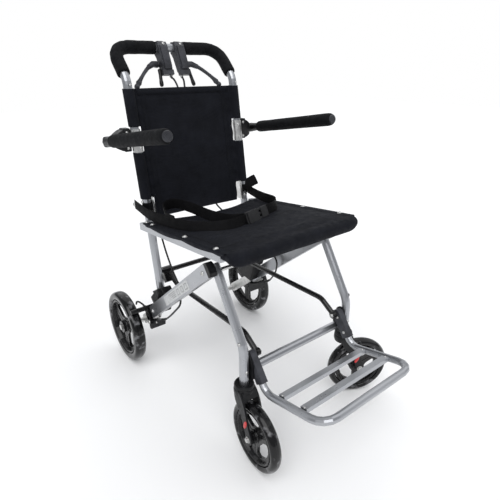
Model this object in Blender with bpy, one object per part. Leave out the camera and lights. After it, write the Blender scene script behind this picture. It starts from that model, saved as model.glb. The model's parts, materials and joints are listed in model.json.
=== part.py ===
"""Transport wheelchair: a light folding chair on two small casters and two rear wheels.

Metres, +Z up. Shapes are drawn in the chair's own frame: x = 0 is the plane of symmetry, y = 0 is the
caster swivel axis, the chair faces -Y and the floor is z = 0. The empty "chair" then puts the middle of
the plan on the world's origin. Every body that moves hangs from an empty on its joint's axis.
"""

import math

import bmesh
import bpy
from mathutils import Matrix, Vector

SIDES = (("left", -1), ("right", 1))
PLAN_CENTRE = Vector((0.0135, 0.1866, 0.0))

# Side frames
BAR_X = 0.172
BAR_THICKNESS = 0.015
BAR_DEPTH = 0.032
BAR_START = Vector((0.0, 0.088, 0.417))
BAR_LENGTH = 0.388
BAR_SLOPE = math.radians(38.8)
RAIL_X = 0.171
RAIL_WIDTH = 0.016
RAIL_HEIGHT = 0.018
RAIL_FRONT = 0.036
RAIL_REAR = 0.400
SEAT_SLOPE = 0.112
SEAT_TOP_AT_ZERO = 0.4783
SEAT_FABRIC = 0.0032
SEAT_HALF_WIDTH = 0.179
SEAT_REAR = 0.376
TUBE_RADIUS = 0.0105
BACK_X = 0.150
RECLINE = 0.147
BACK_HINGE = Vector((0.0, 0.4102, 0.478))
GAP = 0.0004

# Backrest and handle
FOAM_RADIUS = 0.0158
HANDLE_BEND = Vector((0.0, 0.4520, 0.7625))
HANDLE_TOP = Vector((0.0, 0.5205, 0.8325))
GRIP_INNER_X = 0.0395
LEVER_X = 0.024
LEVER_WIDTH = 0.025

# Front legs, brace and footrest
LEG_X = 0.154
LEG_RADIUS = 0.010
LEG_PIVOT = Vector((0.0, 0.0875, 0.410))
CROSS_TUBE = Vector((0.0, 0.0120, 0.2040))
CROSS_TUBE_RADIUS = 0.0095
BRACE_X = 0.117
BRACE_RADIUS = 0.0065
BRACE_PIVOT = Vector((0.0, 0.005, 0.243))
BRACE_BAR = Vector((0.0, 0.392, 0.283))
SLEEVE_X = 0.13155
SLEEVE_WIDTH = 0.0147
GUSSET_INNER = 0.1394
FOOT_TUBE_RADIUS = 0.008
FOOT_SLOPE = math.radians(14.5)
FOOT_LENGTH = 0.1620

# Casters and rear wheels
FRONT_RADIUS = 0.078
FRONT_WIDTH = 0.026
REAR_RADIUS = 0.102
REAR_WIDTH = 0.032
REAR_WHEEL_X = 0.220
REAR_AXLE = Vector((0.0, 0.481, REAR_RADIUS))
CASTER_TRAIL = 0.0445
CASTER_TURN = {"left": math.radians(-4.0), "right": math.radians(63.0)}
FORK_TOP = 0.187
FORK_FLOOR = 0.172

# Armrests
ARM_X = 0.214
ARM_PIVOT = Vector((0.0, 0.452, 0.6255))
ARM_TIP = Vector((0.0, 0.137, 0.674))
ARM_RADIUS = 0.0148

# Brakes
CABLE_RADIUS = 0.0024
SHOE = Vector((0.0, 0.404, 0.1841))
BRAKE_ARM_PIVOT = Vector((0.0, 0.385, 0.150))


def clear_scene():
    for obj in list(bpy.data.objects):
        bpy.data.objects.remove(obj)


def material(name, colour, roughness, metallic=0.0):
    made = bpy.data.materials.new(name)
    made.use_nodes = True
    shader = made.node_tree.nodes["Principled BSDF"]
    shader.inputs["Base Color"].default_value = (*colour, 1.0)
    shader.inputs["Roughness"].default_value = roughness
    shader.inputs["Metallic"].default_value = metallic
    return made


def pivot(name, point, parent=None, turn=0.0):
    """An empty on a joint's axis. Its point is in the chair's frame, as its parent's is."""
    empty = bpy.data.objects.new(name, None)
    bpy.context.scene.collection.objects.link(empty)
    empty.parent = parent
    empty.location = point - Vector(parent["chair_point"]) if parent else point
    empty.rotation_euler.z = turn
    empty["chair_point"] = tuple(point)
    return empty


def hang(obj, parent, shared=False):
    """Parents obj to a body's empty. A mesh drawn in the chair's frame moves back by the empty's point."""
    if not shared:
        obj.data.transform(Matrix.Translation(-Vector(parent["chair_point"])))
    obj.parent = parent
    return obj


def mesh_object(name, points, faces, look):
    mesh = bpy.data.meshes.new(name)
    mesh.from_pydata([tuple(point) for point in points], [], faces)
    tidy = bmesh.new()
    tidy.from_mesh(mesh)
    bmesh.ops.recalc_face_normals(tidy, faces=tidy.faces)
    tidy.to_mesh(mesh)
    tidy.free()
    mesh.shade_smooth()
    mesh.set_sharp_from_angle(angle=math.radians(35))
    mesh.materials.append(look)
    obj = bpy.data.objects.new(name, mesh)
    bpy.context.scene.collection.objects.link(obj)
    return obj


def rounded(corners, radius, steps=4):
    """A path through corners whose inner corners are arcs of the given radius."""
    path = [Vector(corners[0])]
    for before, corner, after in zip(corners, corners[1:], corners[2:]):
        into = (Vector(corner) - Vector(before)).normalized()
        out = (Vector(after) - Vector(corner)).normalized()
        angle = into.angle(out)
        reach = radius * math.tan(angle / 2)
        start = Vector(corner) - into * reach
        side = (out - into * into.dot(out)).normalized()
        for step in range(steps + 1):
            part = angle * step / steps
            path.append(start + into * radius * math.sin(part) + side * radius * (1 - math.cos(part)))
    path.append(Vector(corners[-1]))
    return path


def smooth_path(points, steps=3):
    """A Catmull-Rom curve through points, with steps pieces between each two."""
    points = [Vector(point) for point in points]
    ends = [points[0] * 2 - points[1], *points, points[-1] * 2 - points[-2]]
    path = []
    for a, b, c, d in zip(ends, ends[1:], ends[2:], ends[3:]):
        for step in range(steps):
            t = step / steps
            path.append(
                0.5 * (2 * b + (c - a) * t + (2 * a - 5 * b + 4 * c - d) * t * t)
                + 0.5 * (3 * b - a - 3 * c + d) * t ** 3
            )
    path.append(points[-1])
    return path


def frames_along(path):
    """Two cross-section directions at each point, carried along the path without twisting."""
    tangents = []
    for before, here, after in zip([path[0], *path], path, [*path[1:], path[-1]]):
        tangents.append((after - before).normalized() if after != before else (here - before).normalized())
    guess = Vector((0, 0, 1)) if abs(tangents[0].z) < 0.9 else Vector((1, 0, 0))
    across = tangents[0].cross(guess).normalized()
    frames = []
    for tangent in tangents:
        across = (across - tangent * across.dot(tangent)).normalized()
        frames.append((across, tangent.cross(across)))
    return frames


def ring(centre, frame, radius, sides):
    angles = [2 * math.pi * (index + 0.5) / sides for index in range(sides)]
    return [centre + frame[0] * radius * math.cos(a) + frame[1] * radius * math.sin(a) for a in angles]


def skin(rings, closed=False):
    """Quads between neighbouring rings of equal size, and the points of all rings in order."""
    sides = len(rings[0])
    points = [point for each in rings for point in each]
    faces = []
    for index in range(len(rings) if closed else len(rings) - 1):
        start, following = index * sides, (index + 1) % len(rings) * sides
        for side in range(sides):
            beside = (side + 1) % sides
            faces.append((start + side, start + beside, following + beside, following + side))
    return points, faces


def tube(name, path, radius, look, sides=12, radii=None):
    """A solid round bar along a path, with flat ends. radii gives a radius for each point."""
    radii = radii or [radius] * len(path)
    frames = frames_along(path)
    points, faces = skin([ring(p, f, r, sides) for p, f, r in zip(path, frames, radii)])
    faces.append(tuple(range(sides)))
    faces.append(tuple(range(len(points) - sides, len(points))))
    return mesh_object(name, points, faces, look)


def cord(name, path, radius, look):
    """A cable as a curve with filled ends."""
    curve = bpy.data.curves.new(name, "CURVE")
    curve.dimensions = "3D"
    curve.bevel_depth = radius
    curve.bevel_resolution = 2
    curve.use_fill_caps = True
    spline = curve.splines.new("POLY")
    spline.points.add(len(path) - 1)
    for target, point in zip(spline.points, path):
        target.co = (*point, 1.0)
    curve.materials.append(look)
    obj = bpy.data.objects.new(name, curve)
    bpy.context.scene.collection.objects.link(obj)
    return obj


def sleeve(name, path, outer, inner, look, sides=12):
    """A tube that is open at both ends."""
    frames = frames_along(path)
    outside = [ring(p, f, outer, sides) for p, f in zip(path, frames)]
    inside = [ring(p, f, inner, sides) for p, f in zip(path, frames)]
    points, faces = skin(outside + inside[::-1], closed=True)
    return mesh_object(name, points, faces, look)


def plate(name, outline, x_from, x_to, look):
    """An outline in the Y-Z plane, as thick as from one x to the other."""
    count = len(outline)
    points = [(x, y, z) for x in (x_from, x_to) for y, z in outline]
    faces = [tuple(range(count)), tuple(range(count, 2 * count))]
    faces += [(i, (i + 1) % count, count + (i + 1) % count, count + i) for i in range(count)]
    return mesh_object(name, points, faces, look)


def turned(name, profile, look, segments=36):
    """A ring turned round the X axis from a closed profile of (radius, x) points."""
    rings = []
    for index in range(segments):
        angle = 2 * math.pi * index / segments
        rings.append([Vector((x, r * math.cos(angle), r * math.sin(angle))) for r, x in profile])
    points, faces = skin(rings, closed=True)
    return mesh_object(name, points, faces, look)


def cylinder(name, centre, axis, length, radius, look, sides=20):
    half = Vector(axis).normalized() * length / 2
    return tube(name, [Vector(centre) - half, Vector(centre) + half], radius, look, sides)


def arc(centre, radius, start, end, steps=6):
    """Points of a circle in the Y-Z plane, in degrees from +Y towards +Z."""
    angles = [math.radians(start + (end - start) * i / steps) for i in range(steps + 1)]
    return [(centre[0] + radius * math.cos(a), centre[1] + radius * math.sin(a)) for a in angles]


def combine(obj, other, operation):
    """A Boolean of obj with a helper, which stays in the file as a hidden guide."""
    modifier = obj.modifiers.new(operation.lower() + "_" + other.name, "BOOLEAN")
    modifier.operation = operation
    modifier.object = other
    other.hide_render = True
    other.display_type = "WIRE"
    other.parent = obj
    return obj


def cut(obj, other):
    return combine(obj, other, "DIFFERENCE")


def join(obj, other):
    return combine(obj, other, "UNION")


def bar_point(along, up):
    """(y, z) at a distance along the side bar's middle line and above it."""
    y = BAR_START.y + along * math.cos(BAR_SLOPE) + up * math.sin(BAR_SLOPE)
    z = BAR_START.z - along * math.sin(BAR_SLOPE) + up * math.cos(BAR_SLOPE)
    return y, z


def seat_top(y):
    return SEAT_TOP_AT_ZERO - SEAT_SLOPE * y


def back_point(z):
    """The middle line of the back tube and of the strut under it."""
    return BACK_HINGE.y + RECLINE * (z - BACK_HINGE.z)


def make_looks():
    return {
        "aluminium": material("anodised_aluminium", (0.55, 0.56, 0.58), 0.35, 1.0),
        "plastic": material("black_plastic", (0.02, 0.02, 0.022), 0.5),
        "fabric": material("black_nylon", (0.025, 0.026, 0.03), 0.85),
        "foam": material("black_foam", (0.02, 0.02, 0.021), 0.9),
        "tyre": material("smoky_tyre", (0.08, 0.08, 0.085), 0.25),
        "lacquer": material("black_lacquer", (0.02, 0.02, 0.02), 0.35),
        "steel": material("zinc_steel", (0.6, 0.6, 0.6), 0.35, 1.0),
    }


def build_side(side, sign, chair, looks):
    """The fixed triangle of one side: flat bar, seat rail and rear strut, with their plastics."""
    half = BAR_THICKNESS / 2
    outline = [bar_point(0, -BAR_DEPTH / 2), bar_point(BAR_LENGTH, -BAR_DEPTH / 2)]
    outline += [bar_point(BAR_LENGTH, BAR_DEPTH / 2), bar_point(0, BAR_DEPTH / 2)]
    inner, outer = sign * (BAR_X - half), sign * (BAR_X + half)
    hang(plate(f"side_bar_{side}", outline, inner, outer, looks["aluminium"]), chair)

    cap = [bar_point(-GAP, 0.0150), bar_point(-GAP, -0.0165)]
    cap += [bar_point(-0.006, -0.0165), bar_point(-0.0115, -0.010)]
    cap += [bar_point(-0.0125, 0.002), bar_point(-0.0105, 0.011), bar_point(-0.006, 0.0150)]
    hang(plate(f"bar_cap_{side}", cap, sign * 0.1640, sign * 0.1805, looks["plastic"]), chair)

    housing = [(0.4055, 0.1900), (0.4118, 0.1860), (0.3990, 0.1200), (0.3900, 0.1215), (0.3366, 0.1587)]
    housing += [(0.3329, 0.1777), (0.3912, 0.1496)]
    housing_node = plate(f"brake_housing_{side}", housing, sign * 0.1640, sign * 0.1830, looks["plastic"])
    hang(housing_node, chair)

    rail_top = SEAT_TOP_AT_ZERO - SEAT_FABRIC - GAP
    rail = [(y, rail_top - drop - SEAT_SLOPE * y) for y, drop in
            ((RAIL_FRONT, 0), (RAIL_REAR, 0), (RAIL_REAR, RAIL_HEIGHT), (RAIL_FRONT, RAIL_HEIGHT))]
    x_from, x_to = sign * (RAIL_X - RAIL_WIDTH / 2), sign * (RAIL_X + RAIL_WIDTH / 2)
    hang(plate(f"seat_rail_{side}", rail, x_from, x_to, looks["aluminium"]), chair)

    strut = [Vector((sign * BACK_X, back_point(z), z)) for z in (0.185, 0.4605)]
    hang(tube(f"rear_strut_{side}", strut, TUBE_RADIUS, looks["aluminium"]), chair)

    hinge = [*arc((BACK_HINGE.y, BACK_HINGE.z), 0.0115, 0, 180, 8)]
    hinge += [(back_point(0.435) - 0.0115, 0.435), (back_point(0.435) + 0.0115, 0.435)]
    hinge_inner = sign * (BACK_X - TUBE_RADIUS - GAP)
    hinge_plate = plate(f"hinge_plate_{side}", hinge, hinge_inner, hinge_inner - sign * 0.004, looks["steel"])
    hang(hinge_plate, chair)


def build_axle_bracket(side, sign, chair, looks):
    """The steel plate that carries a rear wheel, with its axle tube."""
    outline = [(0.3846, 0.1623), (0.3994, 0.1811)]
    outline += arc((REAR_AXLE.y, REAR_AXLE.z), 0.014, 52, -128, 8)
    bracket = plate(f"axle_bracket_{side}", outline, sign * 0.1585, sign * 0.1635, looks["steel"])
    stops = ((0.112, 0.0075), (0.2055, 0.0075), (0.2056, 0.0042), (0.2345, 0.0042), (0.2346, 0.0080), (0.2385, 0.0080))
    ends = [Vector((sign * x, REAR_AXLE.y, REAR_AXLE.z)) for x, _ in stops]
    axle = tube(f"axle_tube_{side}", ends, 0.0075, looks["steel"], 12, [radius for _, radius in stops])
    hang(join(bracket, axle), chair)


def build_brake_arm(side, sign, chair, looks):
    """The arm that presses a shoe on the rear tyre's tread."""
    body = pivot(f"brake_arm_pivot_{side}", Vector((sign * 0.187, *BRAKE_ARM_PIVOT.yz)), chair)
    outline = arc(tuple(BRAKE_ARM_PIVOT.yz), 0.008, 150, 330)
    outline += arc(tuple(SHOE.yz), 0.0075, -30, 150)
    arm = plate(f"brake_arm_{side}", outline, sign * 0.1850, sign * 0.1890, looks["lacquer"])
    ends = [Vector((sign * x, *SHOE.yz)) for x in (0.1852, 0.2300)]
    hang(join(arm, tube(f"brake_shoe_{side}", ends, 0.0065, looks["plastic"])), body)
    arm.modifiers[0].object.data.transform(Matrix.Translation(-Vector(body["chair_point"])))


def lower_cable_route(side, sign):
    """From the hinge of the back, inside the seat frame, to the brake housing under the bar."""
    if side == "left":
        route = [(0.1240, 0.4215, 0.4490), (0.1250, 0.4150, 0.4280), (0.1270, 0.4000, 0.4020)]
        route += [(0.1305, 0.3660, 0.3500), (0.1330, 0.3300, 0.3080), (0.1450, 0.2800, 0.2930)]
        route += [(0.1560, 0.2540, 0.2740), (0.1600, 0.2520, 0.2550), (0.1670, 0.2660, 0.2340)]
        route += [(0.1720, 0.2900, 0.2080), (0.1735, 0.3130, 0.1890), (0.1735, 0.3316, 0.1785)]
    else:
        route = [(0.0600, 0.4215, 0.4490), (0.0620, 0.4150, 0.4280), (0.0800, 0.3850, 0.4000)]
        route += [(0.1200, 0.3300, 0.3600), (0.1430, 0.2850, 0.3200), (0.1520, 0.2630, 0.2930)]
        route += [(0.1540, 0.2550, 0.2740), (0.1560, 0.2620, 0.2460), (0.1620, 0.2820, 0.2190)]
        route += [(0.1700, 0.3060, 0.1950), (0.1735, 0.3316, 0.1785)]
    return smooth_path([(sign * x, y, z) for x, y, z in route])


def upper_cable_route(side, sign):
    """From a brake lever down behind the back sling to the hinge of the back."""
    top_x, hinge_x = (0.0140, 0.1240) if side == "left" else (0.0060, 0.0600)
    route = [(0.0160, 0.4885, 0.7650), (0.0130, 0.4740, 0.7560), (top_x, 0.4570, 0.7360)]
    route += [(top_x + 0.006, 0.4535, 0.7100), (hinge_x * 0.6, 0.4580, 0.6200)]
    route += [(hinge_x * 0.9, 0.4480, 0.5500), (hinge_x, 0.4340, 0.4950), (hinge_x, 0.4230, 0.4560)]
    return smooth_path([(sign * x, y, z) for x, y, z in route])


def build_seat(chair, looks):
    """The seat sling: thin over the rails, padded between them, with a rolled front edge."""
    steps = ((-SEAT_HALF_WIDTH, 0), (SEAT_HALF_WIDTH, 0), (SEAT_HALF_WIDTH, SEAT_FABRIC),
             (0.161, SEAT_FABRIC), (0.157, 0.014), (-0.157, 0.014), (-0.161, SEAT_FABRIC),
             (-SEAT_HALF_WIDTH, SEAT_FABRIC))
    points = [(x, y, seat_top(y) - drop) for y in (0.012, SEAT_REAR) for x, drop in steps]
    count = len(steps)
    faces = [tuple(range(count)), tuple(range(count, 2 * count))]
    faces += [(i, (i + 1) % count, count + (i + 1) % count, count + i) for i in range(count)]
    sling = mesh_object("seat_sling", points, faces, looks["fabric"])
    roll = [(0.034, seat_top(0.034)), (0.004, seat_top(0.004)), (-0.001, 0.472), (-0.002, 0.462)]
    roll += [(0.003, 0.449), (0.014, 0.445), (0.034, 0.450)]
    join(sling, plate("seat_roll", roll, -0.1782, 0.1782, looks["fabric"]))
    hang(sling, chair)
    sling.modifiers[0].object.data.transform(Matrix.Translation(-Vector(chair["chair_point"])))


def ribbon(name, path, width, thickness, look):
    """A flat strap standing on edge along a path: its width is along Z."""
    rings = []
    for (across, _), point in zip(frames_along([Vector(p) for p in path]), path):
        level = Vector((across.x, across.y, 0)).normalized() * thickness / 2
        rise = Vector((0, 0, width / 2))
        centre = Vector(point)
        rings.append([centre - level - rise, centre + level - rise, centre + level + rise, centre - level + rise])
    points, faces = skin(rings)
    faces += [(0, 1, 2, 3), tuple(range(len(points) - 4, len(points)))]
    return mesh_object(name, points, faces, look)


def build_belt(chair, looks):
    """The lap belt, lying slack on the seat, and its buckle."""
    left = [(-0.1650, 0.4250, 0.4640), (-0.1655, 0.3980, 0.4640), (-0.1500, 0.3560, 0.4640)]
    left += [(-0.1300, 0.3000, 0.4640), (-0.0900, 0.2550, 0.4690), (-0.0450, 0.2200, 0.4740)]
    right = [(0.1650, 0.4250, 0.4640), (0.1655, 0.3980, 0.4640), (0.1450, 0.3500, 0.4640)]
    right += [(0.1250, 0.2900, 0.4660), (0.0950, 0.2350, 0.4720), (0.0560, 0.2030, 0.4760)]
    for name, route in (("seat_belt_left", left), ("seat_belt_right", right)):
        hang(ribbon(name, smooth_path(route), 0.030, 0.002, looks["fabric"]), chair)
    buckle = [(0.181, 0.4640), (0.217, 0.4600), (0.221, 0.4680), (0.221, 0.4800), (0.183, 0.4840)]
    hang(plate("belt_buckle", buckle, -0.041, 0.0525, looks["plastic"]), chair)


def build_backrest(chair, looks):
    """The back tube with its handle, grips, sling and brake levers; returns its empty."""
    back = pivot("backrest_pivot", BACK_HINGE, chair)
    lower, bend, top = Vector((0, back_point(0.4665), 0.4665)), HANDLE_BEND, HANDLE_TOP
    corners = []
    for sign, order in ((-1, 1), (1, -1)):
        side = [Vector((sign * BACK_X, p.y, p.z)) for p in (lower, bend, top)]
        corners += side[::order]
    frame_path = rounded(corners, 0.040)
    hang(tube("back_frame", frame_path, TUBE_RADIUS, looks["aluminium"]), back)

    for side, sign in SIDES:
        foam = [Vector((sign * GRIP_INNER_X, top.y, top.z)), Vector((sign * BACK_X, top.y, top.z))]
        foam.append(Vector((sign * BACK_X, *bend.lerp(top, 0.14).yz)))
        foam_path = rounded(foam, 0.040)
        hang(sleeve(f"foam_grip_{side}", foam_path, FOAM_RADIUS, TUBE_RADIUS + 0.0008, looks["foam"]), back)
        build_lever(side, sign, back, looks)
        cable = cord(f"brake_cable_upper_{side}", upper_cable_route(side, sign), CABLE_RADIUS, looks["plastic"])
        hang(cable, back)
        build_armrest(side, sign, back, looks)

    build_back_sling(back, looks)


def build_back_sling(back, looks):
    """The back fabric: a panel between the tubes with a sleeve round each of them, in two lengths."""
    outline = [(-0.105, 0.4320), (-0.128, 0.4420), (-0.130, 0.4920), (-0.1425, 0.4960), (-0.1425, 0.7400)]
    outline = [*outline, *[(-x, z) for x, z in reversed(outline)]]
    half = 0.0020
    points = [(x, back_point(z) + out, z) for out in (-half, half) for x, z in outline]
    count = len(outline)
    faces = [tuple(range(count)), tuple(range(count, 2 * count))]
    faces += [(i, (i + 1) % count, count + (i + 1) % count, count + i) for i in range(count)]
    panel = mesh_object("back_sling", points, faces, looks["fabric"])
    inner, outer = TUBE_RADIUS + 0.0006, TUBE_RADIUS + 0.0024
    helpers = []
    for side, sign in SIDES:
        for name, ends in (("low", (0.4960, 0.5960)), ("high", (0.6560, 0.7420))):
            path = [Vector((sign * BACK_X, back_point(z), z)) for z in ends]
            fold = tube(f"sling_fold_{name}_{side}", path, outer, looks["fabric"])
            join(panel, fold)
            helpers.append(fold)
        path = [Vector((sign * BACK_X, back_point(z), z)) for z in (0.450, 0.780)]
        hollow = tube(f"sling_hollow_{side}", path, inner, looks["fabric"])
        cut(panel, hollow)
        helpers.append(hollow)
    hang(panel, back)
    for helper in helpers:
        helper.data.transform(Matrix.Translation(-Vector(back["chair_point"])))


def build_lever(side, sign, back, looks):
    """One bicycle-type brake lever: its clamp body, its blade and the small parking lock stick."""
    outline = [(0.5360, 0.8390), (0.5300, 0.8465), (0.5110, 0.8465), (0.5040, 0.8390), (0.4850, 0.7930)]
    outline += [(0.4830, 0.7790), (0.4900, 0.7715), (0.5020, 0.7750), (0.5200, 0.8080), (0.5350, 0.8230)]
    x_from, x_to = sign * (LEVER_X - LEVER_WIDTH / 2), sign * (LEVER_X + LEVER_WIDTH / 2)
    body = plate(f"lever_body_{side}", outline, x_from, x_to, looks["plastic"])
    bore = cylinder(f"lever_bore_{side}", (sign * LEVER_X, HANDLE_TOP.y, HANDLE_TOP.z), (1, 0, 0), 0.040,
                    TUBE_RADIUS + 0.0006, looks["plastic"], 16)
    hang(cut(body, bore), back)
    bore.data.transform(Matrix.Translation(-Vector(back["chair_point"])))

    blade_body = pivot(f"brake_lever_pivot_{side}", Vector((sign * 0.0415, 0.5070, 0.7935)), back)
    route = [(0.0397, 0.5070, 0.7935), (0.0530, 0.5050, 0.7945), (0.0700, 0.4970, 0.7880)]
    route += [(0.0890, 0.4860, 0.7740), (0.1050, 0.4760, 0.7590), (0.1170, 0.4700, 0.7450)]
    path = smooth_path([(sign * x, y, z) for x, y, z in route], 2)
    radii = [0.0055, 0.0060, 0.0058, 0.0054, 0.0050, 0.0046, 0.0044, 0.0044, 0.0050, 0.0072, 0.0040]
    hang(tube(f"brake_lever_{side}", path, 0.005, looks["lacquer"], 10, radii), blade_body)

    lock_body = pivot(f"lock_lever_pivot_{side}", Vector((sign * 0.0412, 0.4965, 0.7815)), back)
    route = [(0.0412, 0.4970, 0.7830), (0.0425, 0.4935, 0.7740), (0.0445, 0.4880, 0.7600), (0.0465, 0.4810, 0.7460)]
    path = [Vector((sign * x, y, z)) for x, y, z in route]
    hang(tube(f"lock_lever_{side}", path, 0.0034, looks["plastic"], 8, [0.0036, 0.0030, 0.0034, 0.0040]), lock_body)


def build_armrest(side, sign, back, looks):
    """The bracket on the back tube and the padded arm that flips up from it."""
    outline = [(0.4460, 0.6010), (0.4760, 0.6200), (0.4760, 0.6360), (0.4620, 0.6500)]
    outline += [(0.4240, 0.6500), (0.4240, 0.6010)]
    bracket = plate(f"armrest_bracket_{side}", outline, sign * 0.1635, sign * 0.1985, looks["plastic"])
    hang(bracket, back)

    arm_body = pivot(f"armrest_pivot_{side}", Vector((sign * ARM_X, *ARM_PIVOT.yz)), back)
    along = (ARM_TIP - ARM_PIVOT).normalized()
    stops = ((0.004, 0.55), (0.036, 0.55), (0.0365, 0.92), (0.120, 0.96), (0.296, 1.0), (0.306, 0.97), (0.313, 0.83),
             (0.3185, 0.52))
    path = [Vector((sign * ARM_X, 0, 0)) + ARM_PIVOT + along * at for at, _ in stops]
    pad = tube(f"armrest_pad_{side}", path, ARM_RADIUS, looks["foam"], 14, [ARM_RADIUS * part for _, part in stops])
    hub = [Vector((sign * x, *ARM_PIVOT.yz)) for x in (0.1990, 0.2280)]
    join(pad, tube(f"armrest_hub_{side}", hub, 0.0125, looks["plastic"], 16))
    hang(pad, arm_body)
    pad.modifiers[0].object.data.transform(Matrix.Translation(-Vector(arm_body["chair_point"])))


def build_front_legs(chair, looks):
    """Both front legs with their cross tube, pivot rod and gussets; returns their empty."""
    legs = pivot("front_legs_pivot", LEG_PIVOT, chair)
    for side, sign in SIDES:
        corners = [(sign * LEG_X, 0.0960, 0.4235), (sign * LEG_X, 0.0, 0.2700), (sign * LEG_X, 0.0, FORK_FLOOR + GAP)]
        hang(tube(f"front_leg_{side}", rounded(corners, 0.060), LEG_RADIUS, looks["aluminium"], 14), legs)
        x_from, x_to = sign * (LEG_X - LEG_RADIUS - GAP), sign * GUSSET_INNER
        outline = arc(tuple(BRACE_PIVOT.yz), 0.0125, 0, 120, 5)
        outline += [(-0.0140, 0.2300), (-0.0160, 0.1980), (-0.0080, 0.1900), (0.0180, 0.1900), (0.0245, 0.2100)]
        hang(plate(f"footrest_gusset_{side}", outline, x_from, x_to, looks["plastic"]), legs)
    reach = GUSSET_INNER - GAP
    ends = [Vector((x, CROSS_TUBE.y, CROSS_TUBE.z)) for x in (-reach, reach)]
    hang(tube("front_cross_tube", ends, CROSS_TUBE_RADIUS, looks["aluminium"]), legs)
    reach = LEG_X - LEG_RADIUS - GAP
    ends = [Vector((x, LEG_PIVOT.y, LEG_PIVOT.z)) for x in (-reach, reach)]
    hang(tube("pivot_rod", ends, 0.0040, looks["steel"], 10), legs)
    return legs


def build_brace(legs, looks):
    """The hook-on brace: a bent arm on each side and the bar with plastic joints between the struts."""
    brace = pivot("brace_pivot", BRACE_PIVOT, legs)
    bar = [Vector((x, BRACE_BAR.y, BRACE_BAR.z)) for x in (-0.1375, 0.1375)]
    frame = tube("brace_frame", bar, BRACE_RADIUS, looks["lacquer"])
    helpers = []
    for side, sign in SIDES:
        corners = [(sign * BRACE_X, *BRACE_PIVOT.yz), (sign * BRACE_X, 0.048, 0.2695)]
        corners += [(sign * BRACE_X, 0.345, 0.2600), (sign * BRACE_X, *BRACE_BAR.yz)]
        helpers.append(tube(f"brace_arm_{side}", rounded(corners, 0.030, 3), BRACE_RADIUS, looks["lacquer"]))
        eye = [Vector((sign * x, *BRACE_PIVOT.yz)) for x in (0.1110, 0.1195)]
        helpers.append(tube(f"brace_eye_{side}", eye, 0.0085, looks["lacquer"], 14))
        block = arc(tuple(BRACE_BAR.yz), 0.0125, -60, 200, 8) + [(0.368, 0.262), (0.382, 0.253)]
        helpers.append(plate(f"brace_joint_{side}", block, sign * 0.1095, sign * 0.1345, looks["plastic"]))
    for helper in helpers:
        join(frame, helper)
    hang(frame, brace)
    for helper in helpers:
        helper.data.transform(Matrix.Translation(-Vector(brace["chair_point"])))


def build_footrest(legs, looks):
    """The footrest that flips up: two plastic sleeves, a U-shaped tube and two flat slats."""
    foot = pivot("footrest_pivot", BRACE_PIVOT, legs)
    sleeve_end = Vector((0, -0.0325, 0.1935))
    along = (sleeve_end - BRACE_PIVOT).normalized()
    side_way = Vector((0, along.z, -along.y))
    for side, sign in SIDES:
        outline = []
        for at, out in ((-0.009, -0.006), (-0.009, 0.006), (-0.003, 0.0115), (0.0615, 0.0115), (0.0615, -0.0115),
                        (-0.003, -0.0115)):
            point = BRACE_PIVOT + along * at + side_way * out
            outline.append((point.y, point.z))
        x_from, x_to = sign * (SLEEVE_X - SLEEVE_WIDTH / 2), sign * (SLEEVE_X + SLEEVE_WIDTH / 2)
        hang(plate(f"footrest_sleeve_{side}", outline, x_from, x_to, looks["plastic"]), foot)
    start = BRACE_PIVOT + along * 0.0620
    elbow = Vector((0, -0.0450, 0.1755))
    tip = elbow + Vector((0, -math.cos(FOOT_SLOPE), math.sin(FOOT_SLOPE))) * FOOT_LENGTH
    corners = [Vector((-SLEEVE_X, p.y, p.z)) for p in (start, elbow, tip)]
    corners += [Vector((SLEEVE_X, p.y, p.z)) for p in (tip, elbow, start)]
    path = footrest_path(corners)
    hang(tube("footrest_frame", path, FOOT_TUBE_RADIUS, looks["aluminium"]), foot)
    reach = SLEEVE_X - FOOT_TUBE_RADIUS - GAP
    for number, distance in ((1, 0.0395), (2, 0.1020)):
        middle = elbow + (tip - elbow).normalized() * distance
        level = Vector((0, math.cos(FOOT_SLOPE), -math.sin(FOOT_SLOPE)))
        rise = Vector((0, math.sin(FOOT_SLOPE), math.cos(FOOT_SLOPE)))
        outline = []
        for out, up in ((-0.0085, -0.004), (0.0085, -0.004), (0.0085, 0.004), (-0.0085, 0.004)):
            point = middle + level * out + rise * (up + 0.0025)
            outline.append((point.y, point.z))
        hang(plate(f"footrest_slat_{number}", outline, -reach, reach, looks["aluminium"]), foot)


def footrest_path(corners):
    """Tight elbows below the sleeves and wider corners at the front."""
    first, elbow, front_left, front_right, other_elbow, last = corners
    near = rounded([first, elbow, (elbow + front_left) / 2], 0.030)[:-1]
    front = rounded([elbow, front_left, front_right, other_elbow], 0.034)[1:-1]
    far = rounded([(other_elbow + front_right) / 2, other_elbow, last], 0.030)[1:]
    return near + front + far


def window_outline(inner, outer, turn):
    """A gap between two spokes: a ring's sector that narrows towards the hub."""
    points = []
    for radius, reach, count in ((outer, 40, 5), (outer - 0.006, 47, 2), (inner + 0.005, -38, 2), (inner, -24, 3)):
        for index in range(count):
            angle = turn + math.radians(reach * (2 * index / (count - 1) - 1))
            points.append((angle, radius))
    corners = [*points[:5], points[6], points[7], *points[9:], points[8], points[5]]
    return [(radius * math.cos(angle), radius * math.sin(angle)) for angle, radius in corners]


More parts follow.
